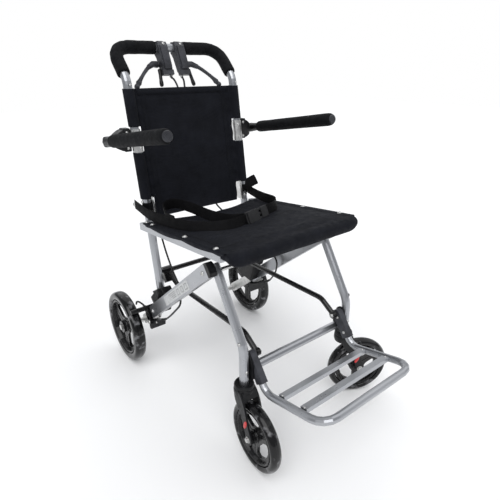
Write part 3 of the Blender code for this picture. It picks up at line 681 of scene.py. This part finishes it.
def build_back():
    loop = 15
    across = 44
    levels = [0.433, 0.4345] + [0.44 + 0.0035 * k for k in range(87)]
    levels = [z for z in levels if z < 0.739] + [0.74, 0.7415]
    rows = []
    for z in levels:
        row = []
        half = back_half(z)
        for sign in (-1, 1):
            ring = []
            for step in range(loop):
                angle = radians(22 + 316 * step / (loop - 1)) * sign
                out = SLEEVE_RADIUS * sin(angle) * -sign
                ring.append((sign * (BACK_X - SLEEVE_RADIUS * cos(angle)),
                             back_point(z) + out + wrinkle(sign * 3, step * 0.2, z, 0.0004, 40), z))
            if sign > 0:
                spread = [half * (2 * s / across - 1) for s in range(across + 1)]
                row += [(x, panel_y(x, z), z) for x in spread]
            row += ring
        rows.append(row)

    def left_out(i, j):
        z = (levels[i] + levels[i + 1]) / 2
        in_sleeve = z > 0.4865 and not 0.5965 < z < 0.6555
        return (j < loop or j > loop + across - 1) and not in_sleeve

    cover = Shape().rows(rows, skip=left_out).done(
        "back_cover", "backrest", "nylon", smooth=60, replaces=("back_sling",))
    skin = cover.modifiers.new("cloth", "SOLIDIFY")
    skin.thickness = 0.0014
    skin.offset = 0
    cover.modifiers.new("smooth", "SUBSURF").levels = 1

    def over(x, z, lift):
        """A point lift off the panel, on the side out."""
        return (x, panel_y(x, z) + out * lift, z)

    bands, seams = Shape(), Shape()
    tall = [0.44 + 0.006 * k for k in range(50)]
    for sign in (-1, 1):
        low, high = sign * 0.108, sign * 0.1215
        for out in (-1, 1):
            bands.solid([[over(x, z, 0.0012) for x in (low, (low + high) / 2, high)]
                         + [over(x, z, 0.0006) for x in (high, low)] for z in tall])
            for x in (sign * 0.1093, sign * 0.1202):
                stitches(seams, [over(x, z, 0.0012) for z in tall], (0, out * 0.0002, 0))
    for out in (-1, 1):
        bands.rows([[over(x / 1000, z, 0.0013) for x in range(-130, 131, 10)] for z in (0.726, 0.733, 0.74)])
        stitches(seams, [over(x / 1000, 0.7265, 0.0013) for x in range(-130, 131, 5)], (0, out * 0.0002, 0))
    bands.done("back_bands", "backrest", "band").modifiers.new("cloth", "SOLIDIFY").thickness = 0.0005
    seams.done("back_stitching", "backrest", "thread")


def strap(shape, path, ups, width=0.026, thick=0.0015):
    """Webbing along a path; ups are its width's directions."""
    path = smooth_path(path, 8)
    ups = smooth_path(ups, 8)
    frames = [(b - a).normalized() for a, b in zip(path, path[1:])]
    frames.append(frames[-1])
    rows = []
    for point, way, up in zip(path, frames, ups):
        up = (up - way * up.dot(way)).normalized()
        out = way.cross(up) * thick / 2
        row = []
        for side, order in ((-1, (-1, -0.5, 0, 0.5, 1)), (1, (1, 0.5, 0, -0.5, -1))):
            for part in order:
                inside = abs(part) < 1
                row.append(point + up * width / 2 * part * (1 if inside else 0.985)
                           + out * side * (1 if inside else 0.5))
        rows.append(row)
    shape.solid(rows)


def build_belt():
    up = (0, 0, 1)
    left = Shape()
    strap(left, [(-0.165, 0.452, 0.464), (-0.1668, 0.425, 0.463), (-0.164, 0.37, 0.456),
                 (-0.158, 0.31, 0.458), (-0.15, 0.25, 0.462), (-0.138, 0.205, 0.466),
                 (-0.108, 0.17, 0.47), (-0.068, 0.15, 0.472), (-0.026, 0.158, 0.4725)],
          [up, up, (0.1, 0, 1), (0.25, 0, 1), (0.35, 0.1, 1), (0.2, 0.5, 0.9), (0, 0.7, 0.75), (0, 0.5, 0.9), up])
    strap(left, [(-0.026, 0.162, 0.473), (-0.06, 0.176, 0.474), (-0.08, 0.22, 0.476),
                 (-0.092, 0.29, 0.48), (-0.108, 0.338, 0.482), (-0.134, 0.344, 0.476),
                 (-0.152, 0.302, 0.468), (-0.15, 0.262, 0.466)],
          [up, (0, 0.4, 1), (0.3, 0, 1), (0.2, 0, 1), up, (-0.2, 0, 1), (-0.2, 0, 1), up])
    right = Shape()
    strap(right, [(0.165, 0.452, 0.464), (0.1668, 0.425, 0.463), (0.161, 0.37, 0.456),
                  (0.148, 0.31, 0.458), (0.133, 0.248, 0.464), (0.108, 0.21, 0.469),
                  (0.08, 0.192, 0.472), (0.048, 0.18, 0.4735)],
          [up, up, (-0.1, 0, 1), (-0.1, 0, 1), up, (0, 0.3, 1), up, up], 0.029)
    strap(right, [(0.148, 0.401, 0.468), (0.156, 0.396, 0.476), (0.168, 0.39, 0.484),
                  (0.182, 0.385, 0.49)], [(-0.1, 0.4, 0.9)] * 4, 0.03)
    low, high = BELT_LOOP
    anchors = Shape()
    for (side, sign), shape in zip(SIDES, (left, right)):
        shape.arc(-160, 320, 24, ((0.0108, low), (0.0124, low), (0.0124, high), (0.0108, high)),
                  lambda r, z, a: (sign * (BACK_X + r * cos(a)), back_point(0.464) + 0.0006 + r * sin(a), z))
        belt = shape.done(f"belt_{side}", "chair", "webbing", smooth=50, finer=True,
                          replaces=(f"seat_belt_{side}",))
        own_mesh(belt)
        anchors.bolt((sign * 0.1678, 0.448, 0.464), (sign, 0, 0), 0.005, 0.003)
    anchors.done("belt_anchors", "chair", "steel")

    way, up = Vector((0.95, 0.27, 0)), Vector((0, 0.45, 1))
    centre = Vector((0.008, 0.168, 0.4725))
    buckle = Shape()
    for along, lift, size in ((-0.012, 0, (0.04, 0.011, 0.029)), (-0.034, 0, (0.007, 0.007, 0.03)),
                              (0.033, 0, (0.026, 0.0075, 0.027)), (0.014, -0.0095, (0.02, 0.0055, 0.0055)),
                              (0.014, 0.0095, (0.02, 0.0055, 0.0055)), (0.013, 0, (0.018, 0.004, 0.007))):
        buckle.block(centre + way * along + up * lift, size, way, up)
    buckle = buckle.done("lap_buckle", "chair", "plastic", bevel=0.0016, replaces=("belt_buckle",))
    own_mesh(buckle)


def foam_over(node, name, body):
    """Swollen, softly uneven foam in the space of a CAD solid."""
    source = frame["nodes"][node]
    foam = placed(name, source.data.copy())
    foam.matrix_world = source.matrix_world
    remesh = foam.modifiers.new("remesh", "REMESH")
    remesh.mode = "VOXEL"
    remesh.voxel_size = 0.0024
    relax = foam.modifiers.new("relax", "SMOOTH")
    relax.factor = 0.6
    relax.iterations = 6
    data = evaluated_mesh(foam)
    foam.modifiers.clear()
    foam.data = data
    data.materials.clear()
    data.materials.append(LOOKS["foam"])
    normals = [v.normal.copy() for v in data.vertices]
    for vertex, normal in zip(data.vertices, normals):
        p = vertex.co - CHAIR
        vertex.co += normal * (0.0003 + wrinkle(*p, 0.0005, 45) + wrinkle(*p, 0.0003, 130))
    soften(foam, smooth=60)
    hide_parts(node)
    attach(foam, body)


def build_armrest(side, sign):
    along = (ARM_TIP - ARM_PIVOT).normalized()
    start = Vector((sign * ARM_X, 0, 0)) + ARM_PIVOT
    stops = [(0.0395, 0.009), (0.04, 0.0134), (0.042, 0.0146), (0.045, 0.0149)]
    stops += [(0.05 + 0.01 * k, 0.0149 + wrinkle(k * 0.37, 1.3 * sign, 0, 0.0004, 1)) for k in range(25)]
    stops += [(0.301, 0.015), (0.307, 0.0147), (0.312, 0.0138), (0.3155, 0.012), (0.3165, 0.01)]
    pad = Shape().tube([start + along * at for at, _ in stops], [r for _, r in stops], 28)
    pad = pad.done(f"armrest_foam_{side}", f"armrest_{side}", "foam", smooth=50, finer=True,
                   replaces=(f"armrest_pad_{side}",))
    plug = Shape().lathe(start + along * 0.316, along, [
        (0.0106, -0.002), (0.0106, 0.001), (0.0096, 0.0024), (0.006, 0.003), (0.0054, 0.0022),
        (0.001, 0.0021)], 28)
    plug.done(f"armrest_plug_{side}", f"armrest_{side}", "cap")
    neck = [start + along * at for at in (0.002, 0.012, 0.024, 0.034, 0.0405)]
    fittings = Shape().tube(neck, [0.0122, 0.0116, 0.0108, 0.0106, 0.011], 20)
    fittings.lathe(start + Vector((-sign * 0.015, 0, 0)), (sign, 0, 0), [
        (0.0105, 0), (0.0122, 0.001), (0.0125, 0.004), (0.0125, 0.0195), (0.0115, 0.0225), (0.007, 0.0235)], 28)
    fittings.done(f"armrest_fittings_{side}", f"armrest_{side}", "plastic", bevel=0.0006)
    pin = Shape().bolt(start + Vector((sign * 0.0086, 0, 0)), (sign, 0, 0), 0.0052, 0.0028)
    pin.done(f"armrest_pin_{side}", f"armrest_{side}", "steel")


def build_bracket(side, sign):
    """The clamp on the back tube that holds an armrest, and its arm out to the pivot."""
    low, high, rear = 0.6, 0.6545, 0.464
    outline = [(0.433, low), (0.433, high), (0.457, high), (0.461, high - 0.012), (0.46, low + 0.004)]
    shape = Shape().plate(outline, sign * 0.163, sign * 0.18)
    sections = ((0.176, low + 0.001, 0.652, 0.4335), (0.185, 0.603, 0.649, 0.4335),
                (0.193, 0.607, 0.644, 0.435), (0.1985, 0.61, 0.64, 0.4375))
    shape.solid([mirrored(sign, (x, front, bottom), (x, rear, bottom + 0.002), (x, rear, top), (x, front, top))
                 for x, bottom, top, front in sections])
    shape.done(f"armrest_clamp_{side}", "backrest", "plastic", bevel=0.0016, replaces=(f"armrest_bracket_{side}",))
    low, high = 0.5985, 0.6515
    plate = Shape().arc(-122, 244, 14, ((0.0111, low), (0.0126, low), (0.0126, high), (0.0111, high)),
                        lambda r, z, a: (sign * (BACK_X - r * sin(a)), back_point(z) - r * cos(a), z))
    plate.done(f"clamp_plate_{side}", "backrest", "steel", bevel=0.0004)
    screws = Shape()
    for z in (0.6085, 0.6415):
        screws.bolt((sign * BACK_X - sign * 0.004, back_point(z) - 0.0122, z), (-0.3 * sign, -1, 0), 0.003)
    for z in (0.645, 0.608):
        screws.bolt((sign * 0.1715, 0.4326, z), (0, -1, 0), 0.0034)
    screws.done(f"clamp_screws_{side}", "backrest", "steel")


def build_lever_trim(side, sign):
    """What a brake lever's CAD solids leave out: a face, a clamp, bolts, rounded ends and the lock's knob."""
    shape = Shape()
    for outline, inner, outer in LEVER_PLATES:
        shape.plate(outline, sign * inner, sign * outer)
    y, z = HANDLE_TOP
    shape.arc(-30, 240, 18, ((0.016, 0.0165), (0.016, 0.0315), (0.0122, 0.0315), (0.0122, 0.0165)),
              lambda r, x, a: (sign * x, y + r * cos(a), z + r * sin(a)))
    shape.block((sign * 0.024, 0.487, 0.7745), (0.03, 0.014, 0.012), (1, 0, 0), (0, 0.35, 1))
    # The lever look is black plastic with a painted highlight.
    shape.done(f"lever_trim_{side}", "backrest", "lever", bevel=0.0012)
    bolts = Shape().bolt((sign * 0.024, 0.501, 0.842), (0, -0.8, 0.6), 0.0036)
    bolts.bolt((sign * 0.024, 0.533, 0.843), (0, 0.6, 0.8), 0.0036)
    bolts.lathe((sign * 0.015, 0.4905, 0.769), (0, -0.55, -0.83), [
        (0.0042, -0.004), (0.0042, 0.002), (0.0036, 0.003), (0.0036, 0.006), (0.0026, 0.008), (0.001, 0.008)], 16)
    bolts.done(f"lever_bolts_{side}", "backrest", "steel")
    pivot = Shape().lathe((sign * 0.0425, 0.507, 0.7935), (0.45 * sign, -0.83, 0.34), [
        (0.006, -0.006), (0.0064, -0.005), (0.0064, 0.005), (0.0056, 0.0062), (0.002, 0.0064)], 18)
    pivot.tube(mirrored(sign, (0.115, 0.4712, 0.7472), (0.118, 0.4694, 0.7444), (0.12, 0.468, 0.742)),
               [0.0054, 0.0062, 0.0046], 16)
    pivot.lathe((sign * 0.118, 0.4694, 0.7442), (sign * 0.45, -0.2, -0.87), [
        (0.003, -0.0066), (0.0052, -0.005), (0.0066, -0.0018), (0.0067, 0.001), (0.0056, 0.004),
        (0.003, 0.006), (0.0005, 0.0064)], 20)
    pivot.tube(mirrored(sign, (0.044, 0.5068, 0.7936), (0.056, 0.504, 0.7943), (0.07, 0.4972, 0.788)),
               [0.0082, 0.0074, 0.006], 14)
    # The lever look is black plastic with a painted highlight.
    pivot.done(f"lever_ends_{side}", f"brake_lever_{side}", "lever")
    knob = Shape().tube(mirrored(
        sign, (0.0416, 0.4966, 0.781), (0.0432, 0.4914, 0.77), (0.045, 0.4862, 0.7575),
        (0.0458, 0.4836, 0.7515), (0.0466, 0.4808, 0.7452), (0.0469, 0.4796, 0.743)),
        [0.005, 0.0042, 0.0044, 0.0052, 0.005, 0.0032], 14)
    knob.done(f"lock_knob_{side}", f"lock_lever_{side}", "plastic")


# ---- cables, brakes and small parts

# How each cable runs below the back's hinge, and its x near the handle and at the hinge.
LOWER_ROUTES = {
    "left": ((0.124, 0.4215, 0.449), (0.125, 0.415, 0.428), (0.127, 0.4, 0.402), (0.1305, 0.366, 0.35),
             (0.133, 0.33, 0.308), (0.145, 0.28, 0.293), (0.156, 0.254, 0.274), (0.16, 0.252, 0.255),
             (0.167, 0.266, 0.234), (0.172, 0.29, 0.208), (0.1735, 0.313, 0.189), (0.1735, 0.3316, 0.1785)),
    "right": ((0.06, 0.4215, 0.449), (0.062, 0.415, 0.428), (0.08, 0.385, 0.4), (0.12, 0.33, 0.36),
              (0.143, 0.285, 0.32), (0.152, 0.263, 0.293), (0.154, 0.255, 0.274), (0.156, 0.262, 0.246),
              (0.162, 0.282, 0.219), (0.17, 0.306, 0.195), (0.1735, 0.3316, 0.1785)),
}
TOP_X = {"left": (0.014, 0.124), "right": (0.006, 0.06)}


def build_cable(side, sign):
    top_x, hinge_x = TOP_X[side]
    upper = ((0.016, 0.4885, 0.765), (0.013, 0.474, 0.756), (top_x, 0.457, 0.736), (top_x + 0.006, 0.4535, 0.71),
             (hinge_x * 0.6, 0.458, 0.62), (hinge_x * 0.9, 0.448, 0.55), (hinge_x, 0.434, 0.495),
             (hinge_x, 0.423, 0.456))
    path = smooth_path(mirrored(sign, *upper, *LOWER_ROUTES[side]), 7)
    cable = Shape().tube(path, 0.0024, 12).done(
        f"brake_cable_{side}", "chair", "lacquer", smooth=80, ride=False,
        replaces=(f"brake_cable_upper_{side}", f"brake_cable_lower_{side}"))
    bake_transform(cable)
    Shape().tube(path[:3], [0.0036, 0.0034, 0.003], 14).done(f"cable_end_{side}", "backrest", "steel")
    stop = Shape().tube([path[-9], path[-5], path[-1]], [0.003, 0.0036, 0.0036], 14)
    stop.done(f"cable_stop_{side}", "chair", "plastic")


def build_brake_trim(side, sign):
    x = sign * BRAKE_X
    coil = []
    first, last = Vector((x, 0.348, 0.1815)), Vector((x, 0.386, 0.158))
    way = (last - first).normalized()
    out = Vector((1, 0, 0))
    up = way.cross(out)
    coils, per_coil = 9, 12
    for step in range(coils * per_coil + 1):
        angle = 2 * pi * step / per_coil
        round_it = (out * cos(angle) + up * sin(angle)) * 0.004
        coil.append(first.lerp(last, step / (coils * per_coil)) + round_it)
    spring = Shape().tube(coil, 0.00085, 8)
    spring.tube([first - way * 0.006, last + way * 0.006], 0.0011, 8)
    for y, z, radius in ((0.396, 0.142, 0.0042), (0.402, 0.17, 0.0036), (0.35, 0.164, 0.003)):
        spring.bolt((sign * 0.1832, y, z), (sign, 0, 0), radius)
    spring.done(f"brake_spring_{side}", "chair", "steel")

    block = Shape().plate([(0.356, 0.183), (0.344, 0.215), (0.336, 0.252), (0.348, 0.262), (0.386, 0.237),
                           (0.419, 0.204), (0.406, 0.19)], sign * 0.1345, sign * 0.1642)
    block.plate([(0.345, 0.233), (0.338, 0.252), (0.348, 0.262), (0.376, 0.244)], sign * 0.164, sign * 0.176)
    block.done(f"strut_block_{side}", "chair", "plastic", bevel=0.0028)

    bend = mirrored(sign, (0.189, 0.4, 0.186), (0.195, 0.396, 0.199), (0.202, 0.404, 0.2075),
                    (0.205, 0.417, 0.204), (0.204, 0.426, 0.192))
    hook = Shape().tube(smooth_path(bend), 0.0024, 10)
    hook.lathe((sign * 0.1892, 0.404, 0.1841), (sign, 0, 0), [
        (0.0072, 0), (0.0076, 0.001), (0.0076, 0.004), (0.006, 0.005), (0.003, 0.0052)], 6)
    hook.lathe((sign * 0.193, 0.404, 0.1841), (sign, 0, 0), [
        (0.0063, 0), (0.0066, 0.002), (0.0063, 0.006), (0.0066, 0.01), (0.0063, 0.014), (0.0066, 0.018),
        (0.0063, 0.022), (0.0066, 0.026), (0.0063, 0.032), (0.006, 0.0375)], 24)
    hook.done(f"brake_hook_{side}", f"brake_arm_{side}", "lacquer", bevel=0.0004)
    nut = Shape().bolt((sign * 0.1892, 0.385, 0.15), (sign, 0, 0), 0.0052, 0.0034)
    nut.done(f"brake_nut_{side}", f"brake_arm_{side}", "steel")


def build_label(side, sign):
    """A plain generic sticker on the side bar: pale field, rounded corners, grey marks."""
    x = sign * 0.1796
    near, far, half, rounding = 0.1, 0.262, 0.0115, 0.003
    corners = []
    for a, u, start in ((near, -half, 180), (far, -half, 270), (far, half, 0), (near, half, 90)):
        a += rounding if a < 0.2 else -rounding
        u += rounding if u < 0 else -rounding
        for step in range(5):
            angle = radians(start + 22.5 * step)
            corners.append(bar_point(a + rounding * cos(angle), u + rounding * sin(angle)))
    Shape().plate(corners, x, x + sign * 0.0003).done(f"label_{side}", "chair", "label")
    marks = Shape()
    for at in (0.116, 0.14, 0.164):
        rows = []
        for lift, r in ((0.0003, 0.007), (0.00042, 0.007), (0.00042, 0.0055), (0.0003, 0.0055)):
            square = ((at - r, -r), (at + r, -r), (at + r, r), (at - r, r))
            rows.append([(x + sign * lift, *bar_point(*corner)) for corner in square])
        marks.rows(rows, closed=True)
    for line in range(4):
        low = 0.0065 - 0.0042 * line
        high, start, end = low + 0.0014, 0.182, 0.226 - 0.006 * line
        marks.plate([bar_point(*corner) for corner in ((start, low), (end, low), (end, high), (start, high))],
                    x + sign * 0.0003, x + sign * 0.0004)
    marks.done(f"label_marks_{side}", "chair", "ink")


# The outline of a fork's arm in (y, z) of its own frame, closed.
FORK_ARM = (
    (0.007, 0.178), (0.0078, 0.164), (0.003, 0.148), (-0.013, 0.128), (-0.026, 0.106), (-0.0335, 0.086),
    (-0.0385, 0.069), (-0.048, 0.0665), (-0.056, 0.073), (-0.056, 0.084), (-0.0475, 0.102), (-0.039, 0.126),
    (-0.03, 0.152), (-0.019, 0.17), (-0.008, 0.178), (0, 0.18), (0.007, 0.178),
)


def build_fork(side, sign):
    """A caster fork round its own swivel axis: a cup for the leg, a yoke and two curved arms."""
    turn = caster_frame(side, sign)
    shape = Shape().ring((0, 0, 0), (0, 0, 1), [
        (0.0165, 0.1585), (0.0205, 0.16), (0.0222, 0.166), (0.0224, 0.173), (0.0216, 0.1768), (0.0206, 0.1776),
        (0.0206, 0.179), (0.0216, 0.1798), (0.0214, 0.184), (0.02, 0.1866), (0.0172, 0.187), (0.016, 0.185),
        (0.0112, 0.1848), (0.0112, 0.1725), (0.003, 0.1722), (0.003, 0.1588)], 56)
    loop = [point.yz for point in smooth_path([(0, *corner) for corner in FORK_ARM], 3)][:-1]
    for way in (-1, 1):
        shape.plate(loop, way * 0.0162, way * 0.0208)
    shape.plate([(0.009, 0.164), (0.009, 0.176), (-0.019, 0.177), (-0.026, 0.16), (0.006, 0.159)],
                -0.0165, 0.0165)
    shape.turned(turn).done(f"fork_{side}", f"caster_{side}", "plastic", bevel=0.0012, smooth=45,
                            replaces=(f"caster_fork_{side}",))
    insert = Shape()
    across = Vector((0, 0.36, -0.93)).normalized()
    beside = Vector((0, 0.93, 0.36))
    for way in (-1, 1):
        insert.solid([[Vector((way * lift, -0.0345, 0.11)) + across * 0.0125 * reach * cos(a)
                       + beside * 0.0046 * reach * sin(a) for a in turns(28)]
                      for reach, lift in ((1, 0.02), (1, 0.0213), (0.82, 0.0219), (0.3, 0.022))])
    insert.turned(turn).done(f"fork_insert_{side}", f"caster_{side}", "red")
    bolts = Shape()
    for way in (-1, 1):
        bolts.lathe((way * 0.0206, -CASTER_TRAIL, FRONT_RADIUS), (way, 0, 0), [
            (0.0072, 0), (0.0072, 0.001), (0.0062, 0.0013), (0.0055, 0.0013), (0.0052, 0.0042),
            (0.0044, 0.005), (0.0024, 0.005), (0.002, 0.003), (0.0003, 0.003)], 24)
    bolts.tube([(way * 0.0225, -CASTER_TRAIL, FRONT_RADIUS) for way in (-1, 1)], 0.004, 16)
    bolts.turned(turn).done(f"fork_bolts_{side}", f"caster_{side}", "steel")


def build_wheel(name, body, matrix, radius, half, hub_half):
    """A glossy tyre with rounded shoulders and a moulded rim trim."""
    inner = radius * 0.78
    hub = radius * 0.17
    edge = half - 0.0046
    centre, axle = (0, 0, 0), (1, 0, 0)
    shoulder = [(radius - drop, at - half) for drop, at in (
        (0.0085, 0.0002), (0.005, 0.0014), (0.0022, 0.0046), (0.0008, 0.008), (0.0001, 0.0105))]
    crown = [(inner, 0.004 - half), (inner + 0.004, 0.0012 - half), *shoulder, (radius - 0.0001, -0.0006)]
    outline = [*crown, (radius - 0.0004, 0), *((r, -x) for r, x in reversed(crown))]
    tyre = Shape().ring(centre, axle, outline, 96).turned(matrix)
    tyre.done(f"{name}_tread", body, "tyre", smooth=50, finer=True, replaces=(f"{name}_tyre",))
    lip = ((0.0006, -0.001), (0.0006, 0.001), (0.0022, 0.0018), (0.0044, 0.0008), (0.005, -0.001))
    boss = ((0.0022, 0.003), (0.0016, 0.005), (0.0002, 0.0058), (-0.003, hub_half - 0.0006),
            (-0.0052, hub_half + 0.0001), (-0.0056, 0.004))
    trim = Shape()
    for way in (-1, 1):
        trim.ring(centre, axle, [(inner - drop, way * (edge + x)) for drop, x in lip], 72)
        trim.ring(centre, axle, [(hub + rise, way * x) for rise, x in boss], 48)
    for spoke in range(3):
        angle = radians(120 * spoke + 30)
        out = Vector((0, cos(angle), sin(angle)))
        for way in (-1, 1):
            beside = Vector((way * 0.0036, 0, 0))
            start, end = out * (radius * 0.19) + beside, out * (inner - 0.008) + beside
            trim.block((start + end) / 2, ((end - start).length, 0.003, 0.0016), out, (way, 0, 0))
    trim.turned(matrix).done(f"{name}_trim", body, "lacquer", bevel=0.0003)


def build_small_parts():
    chair, back, legs, foot = Shape(), Shape(), Shape(), Shape()
    for _, sign in SIDES:
        out = (sign, 0, 0)
        chair.bolt((sign * 0.1605, *BACK_HINGE), out, 0.0048)
        chair.bolt((sign * (BACK_X - 0.003), back_point(0.447) - 0.0103, 0.447), (0, -1, 0), 0.0036)
        chair.bolt((sign * 0.1608, back_point(0.24), 0.24), out, 0.0044)
        chair.bolt((sign * BAR_FACE, *bar_point(0.019, 0)), out, 0.0052)
        chair.bolt((sign * BAR_FACE, *bar_point(0.37, 0)), out, 0.0048)
        chair.bolt((sign * 0.1391, 0.381, 0.281), (-sign, 0, 0), 0.0046)
        chair.bolt((sign * 0.1636, 0.399, 0.174), (-sign, 0, 0), 0.0042)
        for way in (-1, 1):
            chair.lathe((sign * REAR_WHEEL_X + way * 0.0146, *REAR_AXLE), (way, 0, 0), [
                (0.0078, 0), (0.0078, 0.0012), (0.007, 0.0016), (0.0064, 0.0016), (0.006, 0.0034),
                (0.003, 0.0036)], 6)
        back.bolt((sign * 0.1495, 0.434, 0.75), (0, -1, 0), 0.0026)
        legs.bolt((sign * (LEG_X + 0.0097), 0.003, 0.282), out, 0.004)
        legs.bolt((sign * LEG_X, -0.0098, 0.217), (0, -1, 0), 0.0038)
        legs.bolt((sign * 0.11, *BRACE_PIVOT.yz), (-sign, 0, 0), 0.0054, 0.0036)
        legs.bolt((sign * (LEG_X + 0.0097), 0.085, 0.407), out, 0.0046)
        for at in (0.01, 0.048):
            point = BRACE_PIVOT + Vector((0, -0.604, -0.797)) * at
            foot.bolt((sign * 0.1242, *point.yz), (-sign, 0, 0), 0.0036)
        for distance in (0.0395, 0.102):
            slope = radians(14.5)
            y, z = -0.045 - distance * cos(slope), 0.1755 + distance * sin(slope)
            foot.bolt((sign * 0.1215, y + 0.001, z + 0.0066), (0, 0.25, 0.97), 0.0026)
    chair.done("frame_bolts", "chair", "steel")
    back.done("handle_bolts", "backrest", "steel")
    legs.done("leg_bolts", "front_legs", "steel")
    foot.done("footrest_rivets", "footrest", "steel")


# How wide an edge is rounded on each CAD node whose name starts so.
BEVELS = {
    "side_bar": 0.0022, "seat_rail": 0.0018, "bar_cap": 0.003, "brake_housing": 0.0022, "axle_bracket": 0.001,
    "hinge_plate": 0.0006, "lever_body": 0.0018, "footrest_slat": 0.0016, "footrest_sleeve": 0.002,
    "footrest_gusset": 0.0016, "brake_arm": 0.0006, "front_left_rim": 0.0008, "front_right_rim": 0.0008,
    "rear_left_rim": 0.001, "rear_right_rim": 0.001,
}


def dress_frame():
    """Gives every carried-over CAD node the finish of its material slot and soft edges; lever bodies, levers and
    footrest sleeves get a paler copy of the black plastic, a painted highlight.
    """
    for part in frame["record"]["subparts"]:
        node = part["node"]
        obj = frame["nodes"][node]
        look = "lacquer" if node.endswith("_rim") else SLOT_LOOKS[part["material_slot"]]
        # Painted highlight: these black plastic parts take the paler lever look.
        if node.startswith(("lever_body", "brake_lever", "lock_lever", "footrest_sleeve")):
            look = "lever"
        obj.data.materials.clear()
        obj.data.materials.append(LOOKS[look])
        soften(obj, next((width for start, width in BEVELS.items() if node.startswith(start)), 0))


# ---- the chair

add_camera()
add_studio()
dress_frame()
build_seat()
build_back()
build_belt()
build_small_parts()
for side, sign in SIDES:
    foam_over(f"foam_grip_{side}", f"grip_{side}", "backrest")
    build_armrest(side, sign)
    build_bracket(side, sign)
    build_lever_trim(side, sign)
    build_cable(side, sign)
    build_brake_trim(side, sign)
    build_label(side, sign)
    build_fork(side, sign)
    hub = caster_frame(side, sign) @ Matrix.Translation((0, -CASTER_TRAIL, FRONT_RADIUS))
    build_wheel(f"front_{side}", f"front_wheel_{side}", hub, FRONT_RADIUS, 0.013, 0.0145)
    hub = Matrix.Translation((sign * REAR_WHEEL_X, *REAR_AXLE))
    build_wheel(f"rear_{side}", f"rear_wheel_{side}", hub, REAR_RADIUS, 0.016, 0.014)
